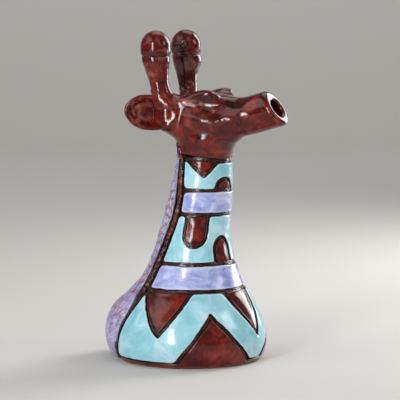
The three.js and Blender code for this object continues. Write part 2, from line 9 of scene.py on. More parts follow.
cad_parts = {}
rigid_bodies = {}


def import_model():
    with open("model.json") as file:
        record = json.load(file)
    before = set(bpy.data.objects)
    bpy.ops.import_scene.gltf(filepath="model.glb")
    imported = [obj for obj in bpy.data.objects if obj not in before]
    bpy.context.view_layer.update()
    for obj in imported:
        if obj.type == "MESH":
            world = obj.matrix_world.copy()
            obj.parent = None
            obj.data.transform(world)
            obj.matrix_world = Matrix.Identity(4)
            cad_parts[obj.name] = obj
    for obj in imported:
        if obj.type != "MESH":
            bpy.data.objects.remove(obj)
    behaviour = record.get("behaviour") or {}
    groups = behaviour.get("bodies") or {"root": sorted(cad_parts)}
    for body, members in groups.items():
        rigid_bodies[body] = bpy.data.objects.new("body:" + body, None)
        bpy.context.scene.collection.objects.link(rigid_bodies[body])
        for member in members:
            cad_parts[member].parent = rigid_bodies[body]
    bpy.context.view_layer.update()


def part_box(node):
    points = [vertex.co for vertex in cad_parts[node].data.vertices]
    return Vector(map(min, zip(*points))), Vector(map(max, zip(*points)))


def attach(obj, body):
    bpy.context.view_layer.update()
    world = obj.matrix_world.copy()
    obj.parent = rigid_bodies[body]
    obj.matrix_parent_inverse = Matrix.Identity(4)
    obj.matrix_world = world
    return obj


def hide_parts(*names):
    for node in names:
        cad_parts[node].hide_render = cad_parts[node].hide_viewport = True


# Glazed ceramic giraffe ornament on a plain pale stage.
# Shapes are worked out in millimetres, x towards the snout from the middle of the foot,
# and moved to the part's own frame in metres when a piece is made.

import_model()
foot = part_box("neck_core")
baseX = (foot[0].x + foot[1].x) / 2 * 1000
print("frame loaded, foot centre at x", round(baseX, 3), "mm")

# camera

cameraSetup = {
    "turn": 30,  # degrees round the piece from its right side
    "rise": 5.5,
    "distance": 2.0,
    "target": (-0.0018, 0.0046, 0.145),
    "lens": 197.3,
    "sensor": 36,
    "photoSide": 400,  # pixels
}


def makeCamera(setup):
    turn, rise = math.radians(setup["turn"]), math.radians(setup["rise"])
    back = Vector((math.sin(turn) * math.cos(rise), -math.cos(turn) * math.cos(rise), math.sin(rise)))
    camera = bpy.data.objects.new("photoCamera", bpy.data.cameras.new("photoCamera"))
    camera.data.lens, camera.data.sensor_width = setup["lens"], setup["sensor"]
    camera.data.clip_end = 50
    camera.location = Vector(setup["target"]) + back * setup["distance"]
    camera.rotation_mode = "QUATERNION"
    camera.rotation_quaternion = (-back).to_track_quat("-Z", "Y")
    bpy.context.scene.collection.objects.link(camera)
    bpy.context.scene.camera = camera
    return camera


def photoRay(px, py):
    # from a pixel of the photograph to a ray in the fit frame, millimetres
    half = cameraSetup["photoSide"] / 2
    reach = cameraSetup["sensor"] / 2 / cameraSetup["lens"]
    turned = cameraSpot["rotation"]
    way = turned @ Vector(((px - half) / half * reach, -(py - half) / half * reach, -1))
    start = cameraSpot["place"] * 1000
    return Vector((start.x - baseX, start.y, start.z)), way.normalized()


camera = makeCamera(cameraSetup)
cameraSpot = {"place": camera.location.copy(), "rotation": camera.rotation_quaternion.copy()}

# the body's own curves

body = {
    "footHeight": 5,
    "skirtHeight": 61.8,
    "lowerLavenderHeight": 23.5,
    "middleHeight": 44.3,
    "upperLavenderHeight": 21.8,
    "collarHeight": 28.5,
    "groove": 2.8,
    "gap": 0.3,
    "wall": 6,
    "panel": 2.5,
    "neckForward": 16.5,
    "neckRadius": 22.4,
    "footRadius": 68,
    "profile": [  # share of the height, of the lean, and of the way out to the foot's radius
        (0, 0, 0.8684), (0.0323, 0, 0.9452), (0.0968, 0, 1), (0.1667, 0, 0.9649), (0.2419, 0.0364, 0.8311),
        (0.3118, 0.097, 0.6491), (0.3871, 0.1939, 0.4474), (0.4946, 0.2667, 0.2851), (0.5914, 0.3273, 0.1798),
        (0.6613, 0.4364, 0.1272), (0.7849, 0.7152, 0.0855), (0.9032, 0.9091, 0.0351), (1, 1, 0),
    ],
    "throat": [  # above the neck: rise, forward, length and width beside the neck's
        (5, 0.6, 0.6, 0.4), (11, 1.3, 2.1, 0.8), (17, 2.5, 4.6, 1.2), (30, 0, 7.6, -0.9),
    ],
    "seam": [  # share of the height; panel, coil and slab edges in degrees from the front
        (0, 134, 138, 142), (0.0968, 127, 131, 133.5), (0.1774, 123, 127, 129.5),
        (0.2688, 119, 123, 127), (0.3441, 115.5, 124, 134), (0.4194, 113.5, 124, 136),
        (0.4946, 109, 119, 132), (0.5914, 102.5, 112, 124), (0.7097, 96.5, 105.5, 117),
        (0.8065, 97, 106.5, 119), (0.8925, 104, 115, 128), (0.9785, 109, 123, 138),
    ],
    "seamAbove": [(6, 112, 130, 148), (17, 112, 146, 168)],
}

skirtTop = body["footHeight"] + body["skirtHeight"]
lowerLavenderTop = skirtTop + body["lowerLavenderHeight"]
turquoiseTop = lowerLavenderTop + body["middleHeight"]
upperLavenderTop = turquoiseTop + body["upperLavenderHeight"]
collarTop = upperLavenderTop + body["collarHeight"]
neckTop = collarTop + body["groove"] / 2 - body["gap"]


def smoothCurve(at, values):
    at, values = np.array(at, float), np.array(values, float)
    before, after = np.maximum(np.arange(len(at)) - 1, 0), np.minimum(np.arange(len(at)) + 1, len(at) - 1)
    slope = (values[after] - values[before]) / (at[after] - at[before])

    def value(x):
        x = np.clip(x, at[0], at[-1])
        i = np.clip(np.searchsorted(at, x, side="right") - 1, 0, len(at) - 2)
        span = at[i + 1] - at[i]
        t = (x - at[i]) / span
        return (
            (1 + 2 * t) * (1 - t) ** 2 * values[i] + t * (1 - t) ** 2 * span * slope[i]
            + t * t * (3 - 2 * t) * values[i + 1] + t * t * (t - 1) * span * slope[i + 1]
        )

    return value


def bodyCurves():
    share, lean, flare = np.array(body["profile"]).T
    rise, forward, longer, wider = np.array(body["throat"]).T
    ahead, least = body["neckForward"], body["neckRadius"]
    radius = least + (body["footRadius"] - least) * flare
    at = np.concatenate([share * neckTop, neckTop + rise])
    curves = {
        "forward": smoothCurve(at, np.concatenate([lean * ahead, ahead + forward])),
        "length": smoothCurve(at, np.concatenate([radius, least + longer])),
        "width": smoothCurve(at, np.concatenate([radius, least + wider])),
    }
    seam, above = np.array(body["seam"], float), np.array(body["seamAbove"], float)
    at = np.concatenate([seam[:, 0] * neckTop, above[:, 0] + neckTop])
    for column, name in enumerate(("panelEdge", "coil", "slabEdge"), 1):
        curves[name] = smoothCurve(at, np.concatenate([seam[:, column], above[:, column]]))
    return curves


curves = bodyCurves()


def wallPoint(angle, height, offset):
    # a point on the neck or throat; degrees from the front towards the right side
    turn = np.radians(angle)
    x = curves["forward"](height) + (curves["length"](height) + offset) * np.cos(turn)
    y = -(curves["width"](height) + offset) * np.sin(turn)
    return np.stack(np.broadcast_arrays(x, y, height), -1).astype(float)


def acrossScale(height):  # millimetres in one degree round the wall
    return np.radians(curves["length"](height) + body["panel"])


def alongScale(height):  # millimetres along the wall in one of height
    return np.hypot(1, curves["length"](height + 0.5) - curves["length"](height - 0.5))


def collarTilt(angle):
    # the head's border drops towards the throat's front
    return np.interp(np.abs(angle), [0, 20, 65, 110, 180], [-2.9, -2.4, -0.4, 2.1, 2.1])


def borderAt(level, angle):
    # of the borders between the panels, only the collar's upper one is tilted
    return level + (collarTilt(angle) if level > collarTop - 3 else 0)


# small tools


def smoothMin(a, b, k):
    h = np.clip(0.5 + 0.5 * (b - a) / k, 0, 1)
    return b * (1 - h) + a * h - k * h * (1 - h)


def smoothMax(a, b, k):
    return -smoothMin(-a, -b, k)


def smoothStep(low, high, x):
    t = np.clip((x - low) / (high - low), 0, 1)
    return t * t * (3 - 2 * t)


def bell(x, width):
    return np.exp(-((x / width) ** 2))


def hashed(i, j, k, seed):
    # an even spread of numbers from 0 to 1, one for each cell and seed
    n = (i * 374761393 + j * 668265263 + k * 2147483647 + seed * 1274126177) & 0xFFFFFFFF
    n = ((n ^ (n >> 13)) * 1274126177) & 0xFFFFFFFF
    return ((n ^ (n >> 16)) & 0xFFFFFF) / float(0xFFFFFF)


def valueNoise(points, size, seed=1):
    # smooth noise from -1 to 1, with lumps of about the given size
    p = np.asarray(points, float) / size
    if p.shape[-1] == 2:
        p = np.concatenate([p, np.zeros(p.shape[:-1] + (1,))], -1)
    cell = np.floor(p).astype(np.int64)
    f = p - cell
    f = f * f * f * (f * (f * 6 - 15) + 10)
    total = 0
    for dx in (0, 1):
        shareX = f[..., 0] if dx else 1 - f[..., 0]
        for dy in (0, 1):
            shareY = f[..., 1] if dy else 1 - f[..., 1]
            for dz in (0, 1):
                shareZ = f[..., 2] if dz else 1 - f[..., 2]
                corner = hashed(cell[..., 0] + dx, cell[..., 1] + dy, cell[..., 2] + dz, seed)
                total = total + shareX * shareY * shareZ * corner
    return total * 2 - 1


def cellNoise(points, size, seed=1):
    # distance to the nearest and second nearest of scattered points, in cells
    p = np.asarray(points, float) / size
    cell = np.floor(p).astype(np.int64)
    first, second = np.full(p.shape[:-1], 9.0), np.full(p.shape[:-1], 9.0)
    for dx in (-1, 0, 1):
        for dy in (-1, 0, 1):
            i, j = cell[..., 0] + dx, cell[..., 1] + dy
            x = i + 0.15 + 0.7 * hashed(i, j, 0, seed)
            y = j + 0.15 + 0.7 * hashed(i, j, 1, seed + 7)
            away = np.hypot(p[..., 0] - x, p[..., 1] - y)
            second = np.minimum(second, np.maximum(first, away))
            first = np.minimum(first, away)
    return first, second


def linearColour(red, green, blue):
    # from a colour of 0 to 255 as it looks on a screen to the linear one that Blender keeps
    def channel(value):
        value = value / 255
        return value / 12.92 if value <= 0.04045 else ((value + 0.055) / 1.055) ** 2.4

    return (channel(red), channel(green), channel(blue), 1)


def giveAttributes(mesh, values):
    for key, data in values.items():
        data = np.asarray(data, np.float32)
        single = data.ndim == 1
        layer = mesh.attributes.new(key, "FLOAT" if single else "FLOAT_VECTOR", "POINT")
        layer.data.foreach_set("value" if single else "vector", data.ravel())


def newMesh(name, points, faces, attributes):
    # faces come as arrays of triangles or quads, points in millimetres
    mesh = bpy.data.meshes.new(name)
    points = np.asarray(points, float)
    faces = [np.asarray(f, np.int32).reshape(-1, f.shape[-1]) for f in faces if len(f)]
    corners = np.concatenate([f.ravel() for f in faces])
    sizes = np.concatenate([np.full(len(f), f.shape[1], np.int32) for f in faces])
    mesh.vertices.add(len(points))
    mesh.vertices.foreach_set("co", ((points + (baseX, 0, 0)) / 1000).astype(np.float32).ravel())
    mesh.loops.add(len(corners))
    mesh.loops.foreach_set("vertex_index", corners)
    mesh.polygons.add(len(sizes))
    mesh.polygons.foreach_set("loop_start", np.concatenate([[0], np.cumsum(sizes)[:-1]]).astype(np.int32))
    mesh.polygons.foreach_set("use_smooth", np.ones(len(sizes), bool))
    mesh.update(calc_edges=True)
    mesh.validate()
    giveAttributes(mesh, attributes)
    return mesh


def addPiece(name, mesh, material, node):
    piece = bpy.data.objects.new(name, mesh)
    bpy.context.scene.collection.objects.link(piece)
    if not mesh.materials:
        mesh.materials.append(material)
    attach(piece, "root")
    if node:
        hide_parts(node)
    print(name, sum(len(face.vertices) - 2 for face in mesh.polygons), "triangles")


def gridQuads(rows, columns, closed=False, start=0):
    # quads of a sheet of rows by columns; closed joins the last column to the first
    row = np.arange(rows - 1)[:, None] * columns
    column = np.arange(columns if closed else columns - 1)[None, :]
    after = (column + 1) % columns
    corners = np.broadcast_arrays(row + column, row + after, row + columns + after, row + columns + column)
    return (np.stack(corners, -1) + start).reshape(-1, 4)


def endCaps(rows, sides):
    # fans that close a grid of rings at both ends, round two points that follow its own
    first, last = rows * sides, (rows - 1) * sides
    here, after = np.arange(sides), (np.arange(sides) + 1) % sides
    return np.concatenate([
        np.stack([np.full(sides, first), after, here], -1),
        np.stack([np.full(sides, first + 1), here + last, after + last], -1),
    ])


# glazes

glazes = {
    "brown": {
        "deep": (24, 3, 2), "middle": (82, 11, 5), "light": (148, 47, 27), "rubbed": (176, 112, 100),
        "roughness": 0.08, "coat": 0.0, "gloss": 0.45, "strokeDepth": 0.00016, "poolDepth": 0.0006,
    },
    "groove": {
        "deep": (10, 3, 3), "middle": (30, 8, 6), "light": (104, 38, 24),
        "roughness": 0.12, "coat": 0.0, "gloss": 0.6,
    },
    "turquoise": {
        "deep": (128, 193, 205), "middle": (154, 209, 223), "light": (190, 226, 238),
        "roughness": 0.2, "coat": 0.3, "gloss": 0.5,
        "cloudStretch": (1, 1, 1), "cloudScale": 48, "cloudStops": (0.3, 0.5, 0.68),
        # pale edge colour: thin glaze over the edge, and a painted rim highlight
        "edgeColour": (206, 236, 240), "edgeShare": 0.35, "edgeReach": 2.4,  # millimetres
    },
    "lavender": {
        "deep": (128, 140, 208), "middle": (166, 176, 226), "light": (204, 210, 240),
        "roughness": 0.22, "coat": 0.3, "gloss": 0.5,
        "cloudStretch": (0.7, 0.7, 1.3), "cloudScale": 84, "cloudStops": (0.34, 0.5, 0.66),
        "edgeColour": (212, 212, 240), "edgeShare": 0.55, "edgeReach": 3.2,
    },
    "lace": {
        "deep": (126, 130, 192), "middle": (164, 168, 216), "light": (206, 212, 238),
        "roughness": 0.3, "coat": 0.2, "gloss": 0.5, "flush": (178, 146, 172), "pit": (64, 26, 20),
    },
    "rubbed": {"deep": (74, 30, 22), "middle": (138, 82, 80), "light": (186, 146, 158)},
    "clay": {"deep": (92, 50, 34), "middle": (128, 74, 50), "light": (150, 92, 66)},
    "line": (20, 8, 8),
}


class Nodes:
    # a short way to write a material's nodes
    def __init__(self, name):
        self.material = bpy.data.materials.new(name)
        self.material.use_nodes = True
        self.tree = self.material.node_tree
        self.tree.nodes.clear()
        self.column = 0

    def add(self, kind, links=None, **values):
        node = self.tree.nodes.new(kind)
        self.column += 1
        node.location = (200 * (self.column % 8), -260 * (self.column // 8))
        for key, value in values.items():
            setattr(node, key, value)
        for socket, value in (links or {}).items():
            target = node.inputs[socket]
            if isinstance(value, bpy.types.NodeSocket):
                self.tree.links.new(value, target)
            else:
                target.default_value = value
        return node

    def ramp(self, factor, stops):
        node = self.add("ShaderNodeValToRGB", {0: factor})
        elements = node.color_ramp.elements
        while len(elements) < len(stops):
            elements.new(0.5)
        for element, (at, colour) in zip(elements, stops):
            element.position, element.color = at, linearColour(*colour)
        return node.outputs["Color"]

    def mix(self, factor, a, b):
        node = self.add("ShaderNodeMix", data_type="RGBA")
        for socket, value in zip((node.inputs[0], node.inputs[6], node.inputs[7]), (factor, a, b)):
            if isinstance(value, bpy.types.NodeSocket):
                self.tree.links.new(value, socket)
            else:
                socket.default_value = value
        return node.outputs[2]

    def shades(self, factor, glaze, stops):
        return self.ramp(factor, list(zip(stops, (glaze["deep"], glaze["middle"], glaze["light"]))))

    def mapRange(self, value, low, high, first=0.0, last=1.0):
        node = self.add("ShaderNodeMapRange", {
            "Value": value, "From Min": low, "From Max": high, "To Min": first, "To Max": last,
        })
        node.interpolation_type = "SMOOTHSTEP"
        return node.outputs["Result"]

    def math(self, operation, a, b=0.0):
        return self.add("ShaderNodeMath", {0: a, 1: b}, operation=operation).outputs[0]

    def noise(self, vector, scale, detail=4, roughness=0.55, distortion=0.0):
        node = self.add("ShaderNodeTexNoise", {
            "Vector": vector, "Scale": scale, "Detail": detail, "Roughness": roughness,
            "Distortion": distortion,
        })
        return node.outputs["Fac"]

    def centred(self, value, weight, middle=0.5):
        # what a value is above or below its middle, times a weight
        return self.math("MULTIPLY", self.math("SUBTRACT", value, middle), weight)

    def mapping(self, vector, scale):
        return self.add("ShaderNodeMapping", {"Vector": vector, "Scale": scale}).outputs["Vector"]

    def attribute(self, name):
        return self.add("ShaderNodeAttribute", attribute_name=name)

    def objectPlace(self):
        return self.add("ShaderNodeTexCoord").outputs["Object"]

    def finish(self, colour, glaze, bumps):
        # bumps: height, strength and depth in metres
        normal = None
        for height, strength, distance in bumps:
            links = {"Height": height, "Strength": strength, "Distance": distance}
            if normal:
                links["Normal"] = normal
            normal = self.add("ShaderNodeBump", links).outputs["Normal"]
        shader = self.add("ShaderNodeBsdfPrincipled", {
            "Base Color": colour, "Roughness": glaze["roughness"], "IOR": 1.5,
            "Coat Weight": glaze["coat"], "Coat Roughness": 0.04, "Coat IOR": 1.5,
            "Specular IOR Level": glaze["gloss"],
        })
        if normal:
            self.tree.links.new(normal, shader.inputs["Normal"])
        output = self.add("ShaderNodeOutputMaterial", {"Surface": shader.outputs["BSDF"]})
        output.location = (1800, 0)
        return self.material


def brownGlaze():
    # iron red that pools darker, with brush strokes along the "brush" attribute
    n = Nodes("brownGlaze")
    glaze = glazes["brown"]
    strokes = n.mapping(n.attribute("brush").outputs["Vector"], (0.6, 0.19, 0.3))
    fine = n.noise(strokes, 1.0, 4, 0.6, 1.2)
    place = n.objectPlace()
    pools = n.noise(place, 95, 5, 0.62, 1.0)
    patches = n.noise(place, 30, 3, 0.5, 0.5)
    streak = n.math("ADD", n.math("MULTIPLY", fine, 0.3), n.math("MULTIPLY", pools, 0.7))
    streak = n.math("ADD", streak, n.centred(patches, 0.5))
    colour = n.shades(streak, glaze, (0.3, 0.5, 0.76))
    # the rubbed attribute paints paler glaze: wear, and on the head, ear cups and foot also painted
    # highlights and painted bounced light
    rubbed = n.math("MULTIPLY", n.attribute("rubbed").outputs["Fac"], n.mapRange(fine, 0.36, 0.6, 0.35, 1))
    colour = n.mix(rubbed, colour, linearColour(*glaze["rubbed"]))
    # the dark attribute paints near black: glaze lines and creases, and painted shade inside the muzzle and
    # deep in the ear cups
    dark = n.math("MULTIPLY", n.attribute("dark").outputs["Fac"], n.mapRange(pools, 0.25, 0.5, 0.7, 1))
    colour = n.mix(dark, colour, linearColour(*glazes["line"]))
    return n.finish(colour, glaze, [(fine, 0.45, glaze["strokeDepth"]), (pools, 0.25, glaze["poolDepth"])])


def panelGlaze(key):
    # softly clouded, paler near a panel's edge where the glaze runs thin and as a painted rim highlight, and
    # dark where it runs out
    n = Nodes(key + "Glaze")
    glaze = glazes[key]
    place = n.objectPlace()
    cloud = n.noise(n.mapping(place, glaze["cloudStretch"]), glaze["cloudScale"], 4, 0.58, 0.7)
    grain = n.noise(place, 420, 3, 0.6)
    edge = n.attribute("edge").outputs["Fac"]
    colour = n.shades(n.math("ADD", cloud, n.centred(grain, 0.12)), glaze, glaze["cloudStops"])
    thin = n.math("ADD", edge, n.centred(n.noise(place, 190, 3, 0.6), 1.3))
    # painted rim highlight: the pale edge colour also stands in for light caught on the rounded edges
    pale = n.mapRange(thin, 0.9, glaze["edgeReach"], glaze["edgeShare"], 0)
    colour = n.mix(pale, colour, linearColour(*glaze["edgeColour"]))
    colour = n.mix(n.mapRange(thin, 0.25, 0.7, 1, 0), colour, linearColour(*glazes["line"]))
    return n.finish(colour, glaze, [(cloud, 0.25, 0.0008), (grain, 0.12, 0.0002)])


def laceGlaze():
    # lavender, rubbed off in the pressed lines of the lace so that the brown clay shows
    n = Nodes("laceGlaze")
    glaze, rubbed = glazes["lace"], glazes["rubbed"]
    place = n.objectPlace()
    cloud = n.noise(place, 70, 4, 0.6, 0.4)
    fine = n.noise(place, 480, 4, 0.6)
    lace = n.attribute("lace").outputs["Fac"]
    speck = n.noise(place, 300, 4, 0.7, 0.5)
    shade = n.math("ADD", n.math("MULTIPLY", cloud, 0.5), n.math("MULTIPLY", speck, 0.5))
    colour = n.shades(shade, glaze, (0.38, 0.5, 0.62))
    flush = n.mapRange(n.noise(place, 170, 4, 0.6, 0.6), 0.48, 0.64, 0, 0.75)
    colour = n.mix(flush, colour, linearColour(*glaze["flush"]))
    worn = n.shades(fine, rubbed, (0.35, 0.5, 0.68))
    loose = n.math("ADD", lace, n.centred(n.noise(place, 210, 4, 0.65, 0.8), 1.9, 0.43))
    reach = n.math("MULTIPLY", n.mapRange(loose, 0.2, 0.75), n.attribute("worn").outputs["Fac"])
    colour = n.mix(reach, colour, worn)
    colour = n.mix(n.attribute("dark").outputs["Fac"], colour, linearColour(*glaze["pit"]))
    edge = n.attribute("edge").outputs["Fac"]
    colour = n.mix(n.mapRange(edge, 0.2, 0.7, 1, 0), colour, linearColour(*glazes["line"]))
    return n.finish(colour, glaze, [(fine, 0.4, 0.0004), (cloud, 0.3, 0.0008)])


def grooveGlaze():
    # nearly black outside, bare clay on the hollow's inside
    n = Nodes("grooveGlaze")
    glaze = glazes["groove"]
    place = n.objectPlace()
    broken = n.noise(place, 330, 4, 0.65)
    inside = n.attribute("inside").outputs["Fac"]
    colour = n.shades(broken, glaze, (0.42, 0.55, 0.7))
    bare = n.shades(n.noise(place, 240, 5, 0.6), glazes["clay"], (0.3, 0.5, 0.7))
    colour = n.mix(inside, colour, bare)
    return n.finish(colour, glaze, [(broken, 0.7, 0.0006)])


materials = {
    "brown": brownGlaze(),
    "turquoise": panelGlaze("turquoise"),
    "lavender": panelGlaze("lavender"),
    "lace": laceGlaze(),
    "groove": grooveGlaze(),
}
print("glazes made")

# raised glaze panels

panelShape = {
    "edgeRadius": 1.7,  # rounding of a panel's edge
    "cornerRounding": 2.6,
    "gridStep": 0.75,
    "tallPanel": 60,
    "tallGridStep": 0.62,  # from row to row of a tall panel
    "backStep": 7,
    "levels": (0.06, 0.2, 0.42, 0.75, 1.15, 1.6, 2.3),  # distances from the edge that get points
    "wander": 0.6,  # how far an edge strays from its drawn line
    "waves": ((0.55, 12), (0.3, 5), (0.15, 2.4)),  # share and size of what makes it stray
    "crown": 0.9,  # how much lower a motif is at its edge than in its middle
    "hollows": 0.3,  # unevenness of the face
}

halfGroove = body["groove"] / 2
frontMotifs = ("collarArch", "middleArch", "frontTriangle")
motifs = {  # degrees from the front, and millimetres from the base, up or down as "way" says
    "collarTriangle": {
        "angle": 65, "half": 30, "apex": 61, "length": 12, "base": collarTop - halfGroove, "way": -1,
    },
    "collarArch": {
        "angle": 12.5, "half": 17.5, "straight": 1.2, "rounded": 6.4,
        "base": upperLavenderTop + halfGroove, "way": 1,
    },
    "tongue": {
        "angle": 61, "half": 16.5, "straight": 14.2, "rounded": 12.5,
        "base": turquoiseTop - halfGroove, "way": -1,
    },
    "middleArch": {
        "angle": 12.5, "half": 13, "straight": 10.3, "rounded": 10.5,
        "base": lowerLavenderTop + halfGroove, "way": 1,
    },
    "frontTriangle": {
        "angle": 2, "half": 21, "apex": -2, "length": 35.4, "base": skirtTop - halfGroove, "way": -1,
    },
    "sideTriangle": {
        "angle": 89, "half": 26, "apex": 84.6, "length": 34.8, "base": skirtTop - halfGroove, "way": -1,
        "bow": 1.7,  # how far the middle of the side next to the mane is drawn in
    },
    "standingTriangle": {
        "angle": 39.5, "half": 30, "apex": 42.5, "length": 41, "base": body["footHeight"] - 1, "way": 1,
    },
}


def motifShapes(name):
    # a motif at the front, or one on the right side and its mirror image
    shape = motifs[name]
    if name in frontMotifs:
        return [("", shape)]
    other = dict(shape, angle=-shape["angle"])
    if "apex" in shape:
        other["apex"] = -shape["apex"]
    return [("Right", shape), ("Left", other)]


def motifReach(shape):
    return shape["length"] if "apex" in shape else shape["straight"] + shape["rounded"]


def sideOf(angle, height, start, end, within):
    # distance to the line through start and end, more than nothing on the side of within
    across, along = acrossScale(height), alongScale(height)
    ex, ey = (end[0] - start[0]) * across, (end[1] - start[1]) * along
    away = (ex * (height - start[1]) * along - ey * (angle - start[0]) * across) / np.hypot(ex, ey)
    turn = (end[0] - start[0]) * (within[1] - start[1]) - (end[1] - start[1]) * (within[0] - start[0])
    return away if turn > 0 else -away


def motifInside(shape, angle, height):
    # distance inside a motif's own sides, without its base
    if "apex" in shape:
        base, half = shape["base"], shape["half"]
        tip = (shape["apex"], base + shape["way"] * shape["length"])
        left, right = (shape["angle"] - half, base), (shape["angle"] + half, base)
        sides = [sideOf(angle, height, left, tip, right), sideOf(angle, height, right, tip, left)]
        climb = np.clip(shape["way"] * (height - base) / shape["length"], 0, 1)
        outer = 1 if shape["angle"] > 0 else 0
        sides[outer] = sides[outer] - shape.get("bow", 0) * np.sin(np.pi * climb)
        return smoothMin(*sides, panelShape["cornerRounding"])
    x = (angle - shape["angle"]) * acrossScale(height)
    wide = shape["half"] * acrossScale(height)
    y = shape["way"] * (height - shape["base"]) * alongScale(height) - shape["straight"]
    f = np.maximum(np.hypot(x / wide, y / shape["rounded"]), 1e-3)
    oval = (1 - f) * f / np.maximum(np.hypot(x / wide**2, y / shape["rounded"] ** 2), 1e-4)
    return np.where(y > 0, np.minimum(oval, wide), wide - np.abs(x))


def wholeMotifInside(shape, angle, height):
    base = borderAt(shape["base"], angle)
    along = shape["way"] * (height - base) * alongScale(height)
    return smoothMin(motifInside(shape, angle, height), along, panelShape["cornerRounding"])


def bandInside(angle, height, bottom, top):
    top = borderAt(top, angle)
    along = smoothMin((height - bottom) * alongScale(height), (top - height) * alongScale(height), 3.2)
    seam = (curves["panelEdge"](height) - np.abs(angle)) * acrossScale(height)
    return smoothMin(along, seam, 4)


def cutAway(distance, shape, angle, height):
    # a groove's width is left round a motif
    outside = -motifInside(shape, angle, height) - body["groove"]
    return smoothMin(distance, outside, panelShape["cornerRounding"])


def strayed(angle, height, distance, seed):
    # a drawn edge as a hand leaves it
    place = np.stack([angle * acrossScale(height), height], -1)
    rough = 0
    for k, (share, size) in enumerate(panelShape["waves"]):
        rough = rough + share * valueNoise(place, size, seed + k)
    return distance + panelShape["wander"] * rough


def crossings(values, level, xs, ys):
    # points where the field on a grid passes a level, and the segments that join them
    f = values - level
    above = f > 0
    wide, high = above[:-1] != above[1:], above[:, :-1] != above[:, 1:]
    wi, wj = np.nonzero(wide)
    hi, hj = np.nonzero(high)
    t = f[wi, wj] / (f[wi, wj] - f[wi + 1, wj])
    s = f[hi, hj] / (f[hi, hj] - f[hi, hj + 1])
    points = np.concatenate([
        np.stack([xs[wi] + t * (xs[wi + 1] - xs[wi]), ys[wj]], -1),
        np.stack([xs[hi], ys[hj] + s * (ys[hj + 1] - ys[hj])], -1),
    ])
    wideAt, highAt = -np.ones(wide.shape, int), -np.ones(high.shape, int)
    wideAt[wi, wj] = np.arange(len(wi))
    highAt[hi, hj] = np.arange(len(hi)) + len(wi)
    segments = []
    low, up, left, right = wideAt[:, :-1], wideAt[:, 1:], highAt[:-1], highAt[1:]
    count = (low >= 0).astype(int) + (up >= 0) + (left >= 0) + (right >= 0)
    for i, j in zip(*np.nonzero(count)):
        sides = [k for k in (low[i, j], left[i, j], up[i, j], right[i, j]) if k >= 0]
        if len(sides) == 2:
            segments.append(sides)
        elif f[i, j] > 0:
            segments += [[low[i, j], right[i, j]], [left[i, j], up[i, j]]]
        else:
            segments += [[low[i, j], left[i, j]], [up[i, j], right[i, j]]]
    return points, np.array(segments, int)


def sheetPoints(xs, ys):
    x, y = np.meshgrid(xs, ys, indexing="ij")
    return x.ravel(), y.ravel()


